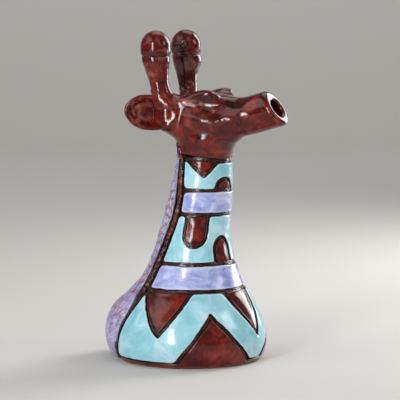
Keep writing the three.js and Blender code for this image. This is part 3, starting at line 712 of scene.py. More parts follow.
def raisedPanel(inside, angles, heights, seed, crown=0.0):
    # a pillow of glaze over the part of the wall where inside(angle, height) is more than nothing
    thick, base = body["panel"], body["gap"]
    middle = (heights[0] + heights[1]) / 2
    across = float(acrossScale(middle))
    step = panelShape["gridStep"]
    isTall = heights[1] - heights[0] >= panelShape["tallPanel"]
    rowStep = panelShape["tallGridStep"] if isTall else step * min(1, 1 / float(alongScale(middle)))
    xs = np.arange(angles[0] * across, angles[1] * across + step, step)
    ys = np.arange(heights[0], heights[1] + step, rowStep)

    def depth(x, y):
        return strayed(x / across, y, inside(x / across, y), seed)

    field = depth(*np.meshgrid(xs, ys, indexing="ij"))
    rim, segments = crossings(field, 0, xs, ys)
    pins = [rim] + [crossings(field, level, xs, ys)[0] for level in panelShape["levels"]]
    x, y = sheetPoints(xs[::3], ys[::3])
    x = x + 0.35 * step * np.sin(y * 3.1)
    deep = depth(x, y) > panelShape["levels"][-1] + 0.6
    pins.append(np.stack([x[deep], y[deep]], -1))

    def triangulate(points):
        # the rim's own segments stay, and triangles outside it go
        joined = [tuple(map(int, segment)) for segment in segments]
        made = delaunay_2d_cdt([Vector(point) for point in points], joined, [], 0, 1e-5, True)
        flat = np.array([tuple(point) for point in made[0]])
        triangles = np.array([face for face in made[2] if len(face) == 3], int)
        centre = flat[triangles].mean(1)
        a, b, c = (flat[triangles[:, k]] for k in range(3))
        area = (b[:, 0] - a[:, 0]) * (c[:, 1] - a[:, 1]) - (b[:, 1] - a[:, 1]) * (c[:, 0] - a[:, 0])
        kept = (depth(centre[:, 0], centre[:, 1]) > 0) & (np.abs(area) > 1e-9)
        triangles = np.where(area[kept, None] > 0, triangles[kept], triangles[kept][:, ::-1])
        return flat, triangles, [[k for k in group if k < len(rim)] for group in made[3]]

    flat, triangles, rimIds = triangulate(np.concatenate(pins))
    onRim = np.array([len(group) > 0 for group in rimIds])
    edge = np.where(onRim, 0, np.maximum(depth(flat[:, 0], flat[:, 1]), 0.0))
    t = np.clip(edge / panelShape["edgeRadius"], 0, 1)
    rounded = np.sqrt(1 - (1 - t) ** 2)
    uneven = 0.5 - 0.5 * valueNoise(flat, 11, seed + 5) + 0.25 * (1 - valueNoise(flat, 4, seed + 6))
    offset = base + (thick - base) * rounded - panelShape["hollows"] * uneven * smoothStep(0.3, 2.5, edge)
    offset = offset - crown * (1 - smoothStep(0, 9, edge)) * smoothStep(0.2, 1.2, edge)
    points = wallPoint(flat[:, 0] / across, np.maximum(flat[:, 1], 0), offset)

    # the back: the same rim, and few points between
    backStep = panelShape["backStep"]
    x, y = sheetPoints(np.arange(xs[0], xs[-1], backStep), np.arange(ys[0], ys[-1], backStep))
    deep = depth(x, y) > 1.5
    backPins = np.concatenate([rim, np.stack([x[deep], y[deep]], -1)])
    backFlat, backTriangles, backRimIds = triangulate(backPins)
    front = {k: index for index, group in enumerate(rimIds) for k in group}
    join = np.arange(len(backFlat)) + len(points)
    for index, group in enumerate(backRimIds):
        for k in group:
            join[index] = front[k]
    backPoints = wallPoint(backFlat[:, 0] / across, np.maximum(backFlat[:, 1], 0), base)
    points = np.concatenate([points, backPoints])
    edge = np.concatenate([edge, np.zeros(len(backFlat))])
    drawn = np.concatenate([flat, backFlat])
    swirl = np.stack([valueNoise(drawn, 17, seed + 8), valueNoise(drawn, 17, seed + 9)], -1)
    brush = np.concatenate([drawn + 9 * swirl, np.zeros((len(drawn), 1))], -1)
    # on this wall the angle runs towards -Y, so a turn that is left-handed on the sheet faces outwards
    faces = np.concatenate([triangles[:, ::-1], join[backTriangles]])
    used = np.unique(faces)
    renumber = -np.ones(len(points), int)
    renumber[used] = np.arange(len(used))
    return points[used], renumber[faces], {"edge": edge[used], "brush": brush[used]}


def makeBands():
    half = halfGroove
    bands = [  # piece, node, bottom, top, and the motifs that cut into it
        ("turquoiseSkirt", "turquoise_skirt", body["footHeight"] + body["gap"], skirtTop - half,
         ("frontTriangle", "sideTriangle", "standingTriangle")),
        ("lavenderBandLower", "lavender_band_lower", skirtTop + half, lowerLavenderTop - half, ()),
        ("turquoiseBandMiddle", "turquoise_band_middle", lowerLavenderTop + half, turquoiseTop - half,
         ("middleArch", "tongue")),
        ("lavenderBandUpper", "lavender_band_upper", turquoiseTop + half, upperLavenderTop - half, ()),
        ("turquoiseCollar", "turquoise_collar", upperLavenderTop + half, collarTop - half,
         ("collarArch", "collarTriangle")),
    ]
    for seed, (name, node, bottom, top, cuts) in enumerate(bands):
        glaze = node.split("_")[0]
        shapes = [shape for key in cuts for _, shape in motifShapes(key)]

        def inside(angle, height):
            distance = bandInside(angle, height, bottom, top)
            for shape in shapes:
                distance = cutAway(distance, shape, angle, height)
            return distance

        spread = float(np.max(curves["panelEdge"](np.linspace(bottom, top, 20)))) + 4
        heights = (bottom - 2, top + (4 if name == "turquoiseCollar" else 2))
        points, faces, attributes = raisedPanel(inside, (-spread, spread), heights, 11 + 7 * seed)
        mesh = newMesh(name, points, [faces], attributes)
        addPiece(name, mesh, materials[glaze], node)


def makeMotifs():
    nodeNames = {
        "collarTriangle": "collar_triangle",
        "tongue": "hanging_tongue",
        "sideTriangle": "skirt_triangle",
        "collarArch": "collar_arch_front",
        "middleArch": "middle_arch_front",
        "frontTriangle": "skirt_triangle_front",
    }
    crown = panelShape["crown"]
    for seed, (key, node) in enumerate(nodeNames.items()):
        for side, shape in motifShapes(key):
            def inside(angle, height):
                return wholeMotifInside(shape, angle, height)

            base, way = shape["base"], shape["way"]
            heights = sorted((base - way * 4, base + way * (motifReach(shape) + 3)))
            centre = (shape["angle"] + shape.get("apex", shape["angle"])) / 2
            spread = shape["half"] + 8
            angles = (centre - spread, centre + spread)
            points, faces, attributes = raisedPanel(inside, angles, heights, 61 + 5 * seed, crown)
            attributes["dark"] = smoothStep(1.0, 0.25, attributes["edge"])
            attributes["rubbed"] = 0 * attributes["edge"]
            mesh = newMesh(key + side, points, [faces], attributes)
            sideNode = node + ("_" + side.lower() if side else "")
            addPiece(key + side, mesh, materials["brown"], sideNode)


def makeFoot():
    def inside(angle, height):
        distance = bandInside(angle, height, 0, body["footHeight"])
        for _, shape in motifShapes("standingTriangle"):
            peak = smoothMin(motifInside(shape, angle, height), height * alongScale(height), 1)
            distance = smoothMax(distance, peak, 1.2)
        return distance

    points, faces, attributes = raisedPanel(inside, (-138, 138), (-1.5, 50), 97)
    attributes["dark"] = smoothStep(1.0, 0.25, attributes["edge"]) * (points[:, 2] > 1.5)
    # paler towards the bottom edge: thin glaze, and painted light bounced up from the floor
    attributes["rubbed"] = 0.35 * smoothStep(3.5, 0.6, points[:, 2])
    mesh = newMesh("footRim", points, [faces], attributes)
    addPiece("footRim", mesh, materials["brown"], "foot_rim")


# the clay wall behind the panels

core = {
    "around": 256,
    "step": 1.1,
    "innerRings": 60,
    "lumps": ((0.22, 3.2, 3), (0.2, 9, 4)),  # height, size and seed of the outside's unevenness
}


def makeCore():
    around = core["around"]
    angles = np.arange(around) * 360 / around
    outer = np.append(np.arange(0, neckTop, core["step"]), neckTop)
    inner = np.linspace(neckTop, 0, core["innerRings"])

    def ring(heights, offset):
        a, h = (grid.ravel() for grid in np.meshgrid(angles, heights))
        return wallPoint(a, h, offset(wallPoint(a, h, 0)))

    def outerOffset(place):
        return sum(height * valueNoise(place, size, seed) for height, size, seed in core["lumps"]) - 0.1

    def innerOffset(place):
        return -body["wall"] + 0.5 * valueNoise(place, 14, 5) - 0.4

    outside, inside = ring(outer, outerOffset), ring(inner, innerOffset)
    rows = len(outer) + len(inner)
    here = np.arange(around)
    last = (rows - 1) * around + here
    closing = np.stack([last, np.roll(last, -1), np.roll(here, -1), here], -1)
    faces = [gridQuads(rows, around, closed=True)[:, ::-1], closing[:, ::-1]]
    bare = np.concatenate([np.zeros(len(outside)), np.ones(len(inside))])
    mesh = newMesh("neckCore", np.concatenate([outside, inside]), faces, {"inside": bare})
    addPiece("neckCore", mesh, materials["groove"], "neck_core")


makeCore()
makeFoot()
makeBands()
makeMotifs()

# mane and rump, pressed with lace

backShape = {
    "thickness": 4,
    "seamThickness": 2.6,
    "throatLift": 1.2,
    "rounding": 1.8,
    "step": 0.66,
    "laceDepth": 1.0,
    "padSpacing": 12,
    "padColumns": 4,
    "padHeight": 0.8,
    "seed": 31,
    "bulge": [  # height, and how far the middle of the back swells out
        (0, 6.8), (8, 7.9), (20, 8.6), (32, 9.6), (42, 11), (50, 10.9), (56, 8.9), (61, 6.7), (68.5, 4.6),
        (77, 2.7), (87, 1), (95.5, 0), (203, 0),
    ],
}


def laceOf(place, size, stretch, seed):
    # 1 in the pressed lines of the lace and 0 on the pads between them
    warped = place + 1.1 * np.stack([valueNoise(place, 6, seed), valueNoise(place, 6, seed + 1)], -1)
    first, second = cellNoise(warped / (1, stretch), size, seed)
    return smoothStep(0.4, 0.08, second - first)


def lacePad(u, h):
    # the low pads of the cast slab itself, in staggered rows
    row = (h - skirtTop + 5.3) / backShape["padSpacing"]
    column = (u - 0.5) * backShape["padColumns"] + np.where(np.floor(row) % 2 == 0, 0, 0.5)
    return backShape["padHeight"] * np.abs(np.sin(np.pi * row) * np.cos(np.pi * column))


def maneWear(place, height):
    return 0.8 + 0.2 * valueNoise(place, 18, 40)


def rumpWear(place, height):
    # the lace is fainter and patchy towards the foot
    return 0.45 * smoothStep(-0.2, 0.5, valueNoise(place, 22, 50)) + 0.55 * smoothStep(34, 60, height)


slabs = {
    "maneSlab": {
        "node": "mane_slab", "low": 60.8, "high": neckTop + 16.5, "pads": True,
        "laceSize": 4.4, "stretch": 1.9, "wear": maneWear,
    },
    "rumpSlab": {
        "node": "rump_slab", "low": 0, "high": 61.1, "pads": False,
        "laceSize": 4.6, "stretch": 1.6, "wear": rumpWear,
    },
}


def makeBack(name, slab):
    step, seed, low, high = backShape["step"], backShape["seed"], slab["low"], slab["high"]
    heights = np.linspace(low, high, int((high - low) * 1.08 / step))
    arc = (360 - 2 * curves["slabEdge"](heights)) * acrossScale(heights)
    columns = int(arc.max() / step)
    u, h = (grid.ravel() for grid in np.meshgrid(np.linspace(0, 1, columns), heights))
    angle = curves["slabEdge"](h) + (360 - 2 * curves["slabEdge"](h)) * u
    wide = (360 - 2 * curves["slabEdge"](h)) * acrossScale(h)
    toSide = np.minimum(u, 1 - u) * wide
    toEnd = (high - h) * 1.2 if slab["pads"] else h * 1.2 + 6  # the two slabs run into each other
    edge = np.clip(smoothMin(toSide, toEnd, 3), 0, None)
    rounded = np.sqrt(1 - (1 - np.clip(edge / backShape["rounding"], 0, 1)) ** 2)
    crown = np.minimum(1, 4 * np.minimum(u, 1 - u))
    full = backShape["seamThickness"] + (backShape["thickness"] - backShape["seamThickness"]) * crown
    bulge = smoothCurve(*np.array(backShape["bulge"], float).T)
    full = full + bulge(h) * np.sin(np.pi * np.clip(u, 0, 1)) ** 0.8
    if slab["pads"]:
        full = full + crown * lacePad(u, h)
    onThroat = smoothStep(neckTop - 3, neckTop + 2, h)
    full = np.maximum(full + backShape["throatLift"] * onThroat, 3.7 * onThroat)
    base = body["gap"] + body["panel"] * onThroat
    place = np.stack([(u - 0.5) * wide, h * 1.08], -1)
    lace = laceOf(place, slab["laceSize"], slab["stretch"], seed)
    fade = smoothStep(0.4, 1.6, edge)
    strength = slab["wear"](place, h) * fade
    pit, _ = cellNoise(place + 2 * np.stack([valueNoise(place, 3, seed + 9)] * 2, -1), 6.5, seed + 3)
    pits = smoothStep(0.17, 0.09, pit) * smoothStep(0.05, 0.5, valueNoise(place, 16, seed + 4) + 0.25) * fade
    offset = base + (full - base) * rounded - 0.35 * (0.5 + 0.5 * valueNoise(place, 9, seed + 5)) * fade
    offset = offset - backShape["laceDepth"] * strength * lace - 0.9 * pits
    points = np.concatenate([wallPoint(angle, h, np.maximum(offset, base)), wallPoint(angle, h, base)])
    rows, count = len(heights), len(u)
    sheet = gridQuads(rows, columns)
    border = np.concatenate([
        np.arange(columns - 1), np.arange(rows - 1) * columns + columns - 1,
        (rows - 1) * columns + np.arange(columns - 1, 0, -1), np.arange(rows - 1, 0, -1) * columns,
    ])
    following = np.roll(border, -1)
    sides = np.stack([border, following, following + count, border + count], -1)

    def outsideOnly(values):
        return np.concatenate([values, np.zeros(count)])

    mesh = newMesh(name, points, [sheet[:, ::-1], sheet + count, sides], {
        "lace": outsideOnly(np.clip(lace * strength, 0, 1)),
        "edge": outsideOnly(edge),
        "dark": outsideOnly(pits),
        "worn": outsideOnly(0.25 + 0.75 * np.clip(strength, 0, 1)),
    })
    addPiece(name, mesh, materials["lace"], slab["node"])


for name, slab in slabs.items():
    makeBack(name, slab)

# coils, beads and knots that follow a line

lineWork = {
    "coilRadius": 2.7,
    "coilRoughness": 2.6,
    "coilUnevenness": 1.1,
    "coilLumps": 150.0,  # for each metre
    "coilBottom": 61.5,
    "coilTop": neckTop + 15,
    "beadRadius": 0.62,
    "beadUnevenness": 1.5,
    "beadLumps": 420.0,
    "beadOut": 1.45,  # from a motif's edge to the middle of its bead
    "grooveBeads": 7,  # lengths of bead in each groove between bands
    "beadBreak": 0.9,
    "spacing": 0.5,
    "seed": 5,
}

dotRows = {  # along the two seams; heights and sizes in millimetres, "round" in degrees
    "seamDots": {
        "bottom": 7, "top": 62, "pathPoints": 120, "round": 0, "lift": 1.3,
        "gap": 1.5, "size": 1.15, "smallest": 0.35, "seed": 5,
    },
    "seamKnots": {
        "bottom": 4, "top": 16, "pathPoints": 20, "round": 0.5, "lift": 1.2,
        "gap": 2.2, "size": 2.6, "smallest": 0.6, "seed": 8,
    },
}


class Tree:
    # a Geometry Nodes group with named inputs
    def __init__(self, name, inputs):
        self.group = bpy.data.node_groups.new(name, "GeometryNodeTree")
        sockets = self.group.interface
        sockets.new_socket("Geometry", in_out="INPUT", socket_type="NodeSocketGeometry")
        self.ids = {}
        for label, kind in inputs.items():
            socket = sockets.new_socket(label, in_out="INPUT", socket_type="NodeSocket" + kind)
            self.ids[label] = socket.identifier
        sockets.new_socket("Geometry", in_out="OUTPUT", socket_type="NodeSocketGeometry")
        self.start = self.group.nodes.new("NodeGroupInput")
        self.column = 1

    def add(self, kind, links=None, **values):
        node = self.group.nodes.new(kind)
        node.location = (self.column * 190, 0)
        self.column += 1
        for key, value in values.items():
            setattr(node, key, value)
        for socket, value in (links or {}).items():
            if isinstance(socket, str):
                target = next(s for s in node.inputs if s.identifier == socket)
            else:
                target = node.inputs[socket]
            if isinstance(value, bpy.types.NodeSocket):
                self.group.links.new(value, target)
            else:
                target.default_value = value
        return node

    def math(self, operation, a, b=0.0):
        return self.add("ShaderNodeMath", {0: a, 1: b}, operation=operation).outputs[0]

    def centredNoise(self, vector, scale, detail, roughness, weight):
        noise = self.add("ShaderNodeTexNoise", {
            "Vector": vector, "Scale": scale, "Detail": detail, "Roughness": roughness,
        })
        return self.math("MULTIPLY", self.math("SUBTRACT", noise.outputs["Fac"], 0.5), weight)

    def close(self, geometry, material):
        real = self.add("GeometryNodeRealizeInstances", {"Geometry": geometry}).outputs["Geometry"]
        smooth = self.add("GeometryNodeSetShadeSmooth", {"Geometry": real, "Shade Smooth": True})
        done = self.add("GeometryNodeSetMaterial", {
            "Geometry": smooth.outputs["Geometry"], "Material": material,
        })
        output = self.add("NodeGroupOutput")
        self.group.links.new(done.outputs["Geometry"], output.inputs[0])

    def run(self, name, mesh, settings):
        # gives the tree's result on a mesh as a plain mesh
        holder = bpy.data.objects.new(name + "Path", mesh)
        bpy.context.scene.collection.objects.link(holder)
        modifier = holder.modifiers.new("nodes", "NODES")
        modifier.node_group = self.group
        for label, value in settings.items():
            modifier[self.ids[label]] = value
        bpy.context.view_layer.update()
        made = holder.evaluated_get(bpy.context.evaluated_depsgraph_get())
        result = bpy.data.meshes.new_from_object(made)
        result.name = name
        holder.modifiers.remove(modifier)
        bpy.data.objects.remove(holder)
        return result


def pathMesh(name, paths):
    # open lines of points, in millimetres, as the edges of a mesh
    mesh = bpy.data.meshes.new(name)
    points, edges, start = [], [], 0
    for path in paths:
        points += [tuple((np.array(p) + (baseX, 0, 0)) / 1000) for p in path]
        edges += [(start + k, start + k + 1) for k in range(len(path) - 1)]
        start += len(path)
    mesh.from_pydata(points, edges, [])
    return mesh


def tubeTree():
    tree = Tree("glazeCoil", {
        "Radius": "Float", "Unevenness": "Float", "Sides": "Int", "Spacing": "Float", "Lumps": "Float",
        "Roughness": "Float", "Material": "Material",
    })
    given = tree.start.outputs
    line = tree.add("GeometryNodeMeshToCurve", {"Mesh": given["Geometry"]}).outputs["Curve"]
    even = tree.add("GeometryNodeResampleCurve", {"Curve": line, "Length": given["Spacing"]}, mode="LENGTH")
    place = tree.add("GeometryNodeInputPosition").outputs["Position"]
    swell = tree.centredNoise(place, given["Lumps"], 5.0, 0.7, given["Unevenness"])
    ends = tree.add("GeometryNodeSplineParameter").outputs["Factor"]
    fromMiddle = tree.math("ABSOLUTE", tree.math("SUBTRACT", ends, 0.5))
    taper = tree.add("ShaderNodeMapRange", {
        "Value": fromMiddle, "From Min": 0.47, "From Max": 0.5, "To Min": 1.0, "To Max": 0.35,
    })
    size = tree.math("MULTIPLY", tree.math("ADD", swell, 1.0), taper.outputs["Result"])
    circle = {"Resolution": given["Sides"], "Radius": given["Radius"]}
    profile = tree.add("GeometryNodeCurvePrimitiveCircle", circle, mode="RADIUS")
    tube = tree.add("GeometryNodeCurveToMesh", {
        "Curve": even.outputs["Curve"], "Profile Curve": profile.outputs["Curve"], "Scale": size,
        "Fill Caps": True,
    })
    height = tree.centredNoise(place, 330.0, 3.0, 0.6, given["Roughness"])
    way = tree.add("GeometryNodeInputNormal").outputs["Normal"]
    push = tree.add("ShaderNodeVectorMath", {0: way, "Scale": height}, operation="SCALE")
    rough = tree.add("GeometryNodeSetPosition", {
        "Geometry": tube.outputs["Mesh"], "Offset": push.outputs["Vector"],
    })
    tree.close(rough.outputs["Geometry"], given["Material"])
    return tree


def dotTree():
    tree = Tree("glazeDots", {
        "Spacing": "Float", "Size": "Float", "Smallest": "Float", "Seed": "Int", "Material": "Material",
    })
    given = tree.start.outputs
    line = tree.add("GeometryNodeMeshToCurve", {"Mesh": given["Geometry"]}).outputs["Curve"]
    spots = tree.add("GeometryNodeCurveToPoints", {"Curve": line, "Length": given["Spacing"]}, mode="LENGTH")
    shift = tree.add("FunctionNodeRandomValue", {
        "Min": (-0.0004, -0.0004, -0.0006), "Max": (0.0004, 0.0004, 0.0006), "Seed": given["Seed"],
    }, data_type="FLOAT_VECTOR")
    moved = tree.add("GeometryNodeSetPosition", {
        "Geometry": spots.outputs["Points"], "Offset": shift.outputs["Value"],
    })
    ball = tree.add("GeometryNodeMeshIcoSphere", {"Radius": given["Size"], "Subdivisions": 2})
    size = tree.add("FunctionNodeRandomValue", {
        "Min_001": given["Smallest"], "Max_001": 1.0, "Seed": given["Seed"],
    }, data_type="FLOAT")
    share = next(s for s in size.outputs if s.identifier == "Value_001")
    longer = tree.add("ShaderNodeCombineXYZ", {"X": share, "Y": share, "Z": 1.35})
    dots = tree.add("GeometryNodeInstanceOnPoints", {
        "Points": moved.outputs["Geometry"], "Instance": ball.outputs["Mesh"],
        "Rotation": spots.outputs["Rotation"], "Scale": longer.outputs["Vector"],
    })
    tree.close(dots.outputs["Instances"], given["Material"])
    return tree


def meshPoints(mesh):
    points = np.zeros(len(mesh.vertices) * 3, np.float32)
    mesh.vertices.foreach_get("co", points)
    return points.reshape(-1, 3).astype(float) * 1000 - (baseX, 0, 0)


def outsideWall(points):
    # how far points stand out from the bare wall
    x = points[:, 0] - curves["forward"](points[:, 2])
    length, width = curves["length"](points[:, 2]), curves["width"](points[:, 2])
    turn = np.arctan2(-points[:, 1] / width, x / length)
    return np.hypot(x, points[:, 1]) - np.hypot(length * np.cos(turn), width * np.sin(turn))


def makeCoils(tubes):
    heights = np.linspace(lineWork["coilBottom"], lineWork["coilTop"], 90)
    lift = 1.3 * smoothStep(neckTop - 4, neckTop + 3, heights)
    for side, sign in (("Right", 1), ("Left", -1)):
        path = wallPoint(sign * curves["coil"](heights), heights, lift)
        name = "seamCoil" + side
        mesh = tubes.run(name, pathMesh(name, [path]), {
            "Radius": lineWork["coilRadius"] / 1000, "Unevenness": lineWork["coilUnevenness"], "Sides": 28,
            "Spacing": lineWork["spacing"] / 1000, "Lumps": lineWork["coilLumps"],
            "Roughness": lineWork["coilRoughness"] / 1000, "Material": materials["brown"],
        })
        points = meshPoints(mesh)
        out = outsideWall(points) - np.interp(points[:, 2], heights, lift)
        turn = np.degrees(np.arctan2(-points[:, 1], points[:, 0] - curves["forward"](points[:, 2])))
        blots = smoothStep(-0.35, 0.25, valueNoise(points, 3, 8))
        giveAttributes(mesh, {
            "brush": np.stack([turn * acrossScale(points[:, 2]), points[:, 2], 0 * out], -1),
            "dark": np.clip(smoothStep(2.1, 0.9, out) + 0.85 * blots, 0, 1),
            "rubbed": 0.7 * smoothStep(1.6, 2.6, out) * smoothStep(0.15, 0.5, valueNoise(points, 3.2, 9)),
        })
        addPiece(name, mesh, materials["brown"], "seam_coil_" + side.lower())


def beadPath(shape, out):
    # the line at some distance outside a motif's sides, from base to base
    way, half = shape["way"], shape["half"]
    t = np.linspace(0, 1, 90)
    if "apex" in shape:
        climb = 1 - np.abs(2 * t - 1)
        corner = np.where(t < 0.5, shape["angle"] - half, shape["angle"] + half)
        angle = corner + (shape["apex"] - corner) * climb
        height = shape["base"] + way * shape["length"] * climb
    else:
        turn = np.pi * np.clip((t - 0.2) / 0.6, 0, 1)
        angle = shape["angle"] - half * np.cos(turn)
        straight = shape["straight"] * np.clip(np.minimum(t, 1 - t) / 0.2, 0, 1)
        height = shape["base"] + way * (straight + shape["rounded"] * np.sin(turn))
    # a few steps along the slope of the distance bring the first guess to the line
    for _ in range(12):
        value = motifInside(shape, angle, height) + out
        across, along = acrossScale(height), alongScale(height)
        right, left = (motifInside(shape, angle + shift / across, height) for shift in (0.2, -0.2))
        upper, lower = (motifInside(shape, angle, height + shift) for shift in (0.2, -0.2))
        gx, gy = (right - left) / 0.4, (upper - lower) / 0.4 / along
        size = np.maximum(gx**2 + gy**2, 0.3)
        angle, height = angle - 0.7 * value * gx / size / across, height - 0.7 * value * gy / size / along
    keep = (way * (height - shape["base"]) > -0.2) & (np.abs(angle) < 108)
    return angle[keep], height[keep]


def makeBeads(tubes):
    paths = []
    for key in ("collarTriangle", "tongue", "sideTriangle", "standingTriangle") + frontMotifs:
        for _, shape in motifShapes(key):
            paths.append(beadPath(shape, lineWork["beadOut"]))
    for level in (skirtTop, lowerLavenderTop, turquoiseTop, upperLavenderTop):
        reach = float(curves["panelEdge"](level))
        breaks = np.linspace(-reach, reach, lineWork["grooveBeads"] + 1)
        for k, (start, end) in enumerate(zip(breaks[:-1], breaks[1:])):
            gap = lineWork["beadBreak"] * (0.5 + hashed(k, int(level), 1, lineWork["seed"]))
            gap = gap / float(acrossScale(level))
            angle = np.linspace(start + gap, end - gap, 30)
            paths.append((angle, level + 0.25 * np.sin(angle * 0.31 + level)))
    lines = []
    for angle, height in paths:
        points = wallPoint(angle, height, 0.25)
        away = np.concatenate([[0], np.cumsum(np.linalg.norm(np.diff(points, axis=0), axis=1))])
        even = np.arange(0, away[-1], 0.8)
        points = np.stack([np.interp(even, away, points[:, k]) for k in range(3)], -1)
        points = points + 0.18 * np.stack([valueNoise(points, 3, 70 + k) for k in range(3)], -1)
        lines.append(points)
    mesh = tubes.run("grooveBeads", pathMesh("grooveBeads", lines), {
        "Radius": lineWork["beadRadius"] / 1000, "Unevenness": lineWork["beadUnevenness"], "Sides": 8,
        "Spacing": lineWork["spacing"] / 1000, "Lumps": lineWork["beadLumps"], "Roughness": 0.0,
        "Material": materials["brown"],
    })
    points = meshPoints(mesh)
    giveAttributes(mesh, {
        "brush": points[:, [0, 2, 1]],
        "dark": 0.55 * smoothStep(-0.3, 0.4, valueNoise(points, 4, 12)),
        "rubbed": 0 * points[:, 0],
    })
    addPiece("grooveBeads", mesh, materials["brown"], None)


def makeDots(dots):
    for name, row in dotRows.items():
        heights = np.linspace(row["bottom"], row["top"], row["pathPoints"])
        angle = curves["coil"](heights) + row["round"]
        lines = [wallPoint(sign * angle, heights, row["lift"]) for sign in (1, -1)]
        mesh = dots.run(name, pathMesh(name, lines), {
            "Spacing": row["gap"] / 1000, "Size": row["size"] / 1000, "Smallest": row["smallest"],
            "Seed": row["seed"], "Material": materials["groove"],
        })
        addPiece(name, mesh, materials["groove"], None)


tubes = tubeTree()
makeCoils(tubes)
makeBeads(tubes)
makeDots(dotTree())

# the head, as one skin drawn from a distance field

head = {
    "step": 0.74,
    "coarseStep": 2.4,  # of the first skin, on which the marks are found
    "low": (-46, -38, -6.5),
    "high": (86, 38, 74),
    "stations": [  # forward, underside, top, half width, squareness
        (-42, 34, 41, 7, 2.3), (-40.5, 31, 44, 13.5, 2.5), (-36.5, 26, 47.5, 19.5, 2.6),
        (-28.5, 20, 51, 23.8, 2.7), (-16.5, 14.5, 54, 25.3, 2.5), (-6.5, 13, 55, 25.6, 2.3),
        (3.5, 13, 56.5, 24.9, 2.2), (16.5, 14, 57, 21.3, 2.1), (25.5, 15, 55.5, 18.7, 2.2),
        (33.5, 16.3, 54.2, 16.5, 2.1), (40.5, 18.7, 54.5, 15.6, 2), (53.5, 22, 58.2, 14.5, 2),
        (66, 25.6, 61.8, 14.3, 2), (92, 33.5, 69, 15, 2),
    ],
    "back": 42.2,  # how far the skull reaches behind the neck's middle
    "face": (74.1, 45.4),
    "tilt": 34,
    "snoutRise": 16,
    "mouth": 8.25,
    "hollowEnd": 20,
    "funnel": 12,
    "rimRounding": 3.2,
    "jawFillet": 9,
    "lowCheek": 0.03,  # how far the widest part lies below the middle, as a share of the height
    "brow": {"place": (-4, 17.5, 51.6), "radii": (22, 6.2, 6.4), "rise": 20},
    "browFoot": {"place": (6, 14, 51), "radii": (15, 7, 6), "rise": 8},
    "socket": {"place": (19.5, 26.5, 46.5), "radii": (24, 5.6, 6.5), "rise": 0},
    "eye": (203, 108),  # in the photograph's pixels, like the lines and spots below
    "lines": {  # how high or deep each one is, and how wide, in millimetres
        "eyeCrease": {"line": [(197.9, 106.6), (203.2, 108.8), (210.8, 111.5)], "relief": 1.5, "width": 1.1},
        "cheekRidge": {
            "line": [
                (190, 110), (195, 115.5), (202.7, 120.6), (212.2, 123.2), (221.6, 122), (231.1, 118.4),
                (238.2, 114),
            ],
            "relief": 1.9, "width": 7,
        },
        "lightRidge": {
            "line": [(175, 100), (187, 101.5), (200, 104), (215, 109)],
            "relief": 0.35, "width": 3,
        },
        "seam": {"line": [(184.8, 143.6), (184.4, 146.5), (184.2, 150)], "relief": 0.9, "width": 0.6},
    },
    "paleAndHighlightMarks": [((196, 112), 3.2), ((188, 122), 3.4), ((203, 118), 3), ((222, 98), 2.2)],  # pale spots, partly painted highlights; place and size
    "rubbedAndHighlightLines": (("lightRidge", 2.2, 0.85), ("cheekRidge", 1.8, 0.6)),  # paler glaze along ridges, partly painted highlight; reach and strength
}

horn = {
    "stations": [  # forward, side, height, radius
        (-30, 23.4, 43, 8.8), (-31, 24.6, 49.5, 9.3), (-32.4, 25.1, 57, 8.7), (-34, 25.5, 68, 9),
        (-35.3, 26.4, 79, 11.3), (-36.2, 27, 86, 12.9), (-36.4, 27, 90, 13),
    ],
    "baseFillet": (4, 17),  # millimetres behind and in front of a stalk
    "sides": 96,
    "levels": 64,
    "bottom": 44,
    "top": 90.4,
    "ringHeight": 58,  # a low ring round each stalk, with a line above it
    "knobRadius": 13.9,
    "knobHeight": 23.4,
    "knobWaist": 8.6,
    "knobSides": 112,
    "knobLevels": 84,
    "crease": {"Right": 0.22, "Left": 0.1},  # depth of the line under each knob
    "wrinkle": 0.18,
    "patchTurn": -82,  # rough dark patch on the left knob, degrees round it
}

ear = {
    "step": 0.62,
    "reach": (25, 18, 18),  # of the box in which an ear is drawn
    "place": (-37.4, 35.9, 40),
    "radii": (23.5, 10, 16.5),
    "hollow": (18.6, 7, 12.7),
    "towardHead": 25,  # reach of the hollow on the head's side
    "floorRise": 0.42,
    "pale": 13,  # outwards along the ear, where a painted highlight lies in its cup
    "highlightReach": 4,
    "draft": 0.52,  # how much the hollow narrows in each millimetre of its depth
    "sweep": 30,
    "lift": 8,
}


def toHead(points):
    return points - (body["neckForward"], 0, neckTop)


def fromHead(points):
    return points + (body["neckForward"], 0, neckTop)


def rightSide(points):
    # the right side stands for both
    return np.stack([points[..., 0], -np.abs(points[..., 1]), points[..., 2]], -1)


def turned(p, rise, turn):
    # points in a frame turned about the upright, then raised, in degrees
    c, s = math.cos(math.radians(turn)), math.sin(math.radians(turn))
    p = np.stack([p[..., 0] * c + p[..., 1] * s, -p[..., 0] * s + p[..., 1] * c, p[..., 2]], -1)
    c, s = math.cos(math.radians(rise)), math.sin(math.radians(rise))
    return np.stack([p[..., 0] * c + p[..., 2] * s, p[..., 1], -p[..., 0] * s + p[..., 2] * c], -1)


def ovalDistance(place, centre, radii, rise=0, turn=0):
    # about the distance to an oval: outside more than nothing
    p = turned(place - centre, rise, turn)
    f = np.sqrt(np.maximum((p / radii) ** 2, 0).sum(-1))
    return f * (f - 1) / np.maximum(np.sqrt((p**2 / np.array(radii, float) ** 4).sum(-1)), 1e-6)


skull = np.array(head["stations"], float)
skullSteps = np.linspace(skull[0, 0], skull[-1, 0], 500)
skullRows = [smoothCurve(skull[:, 0], skull[:, k])(skullSteps) for k in range(1, 5)]


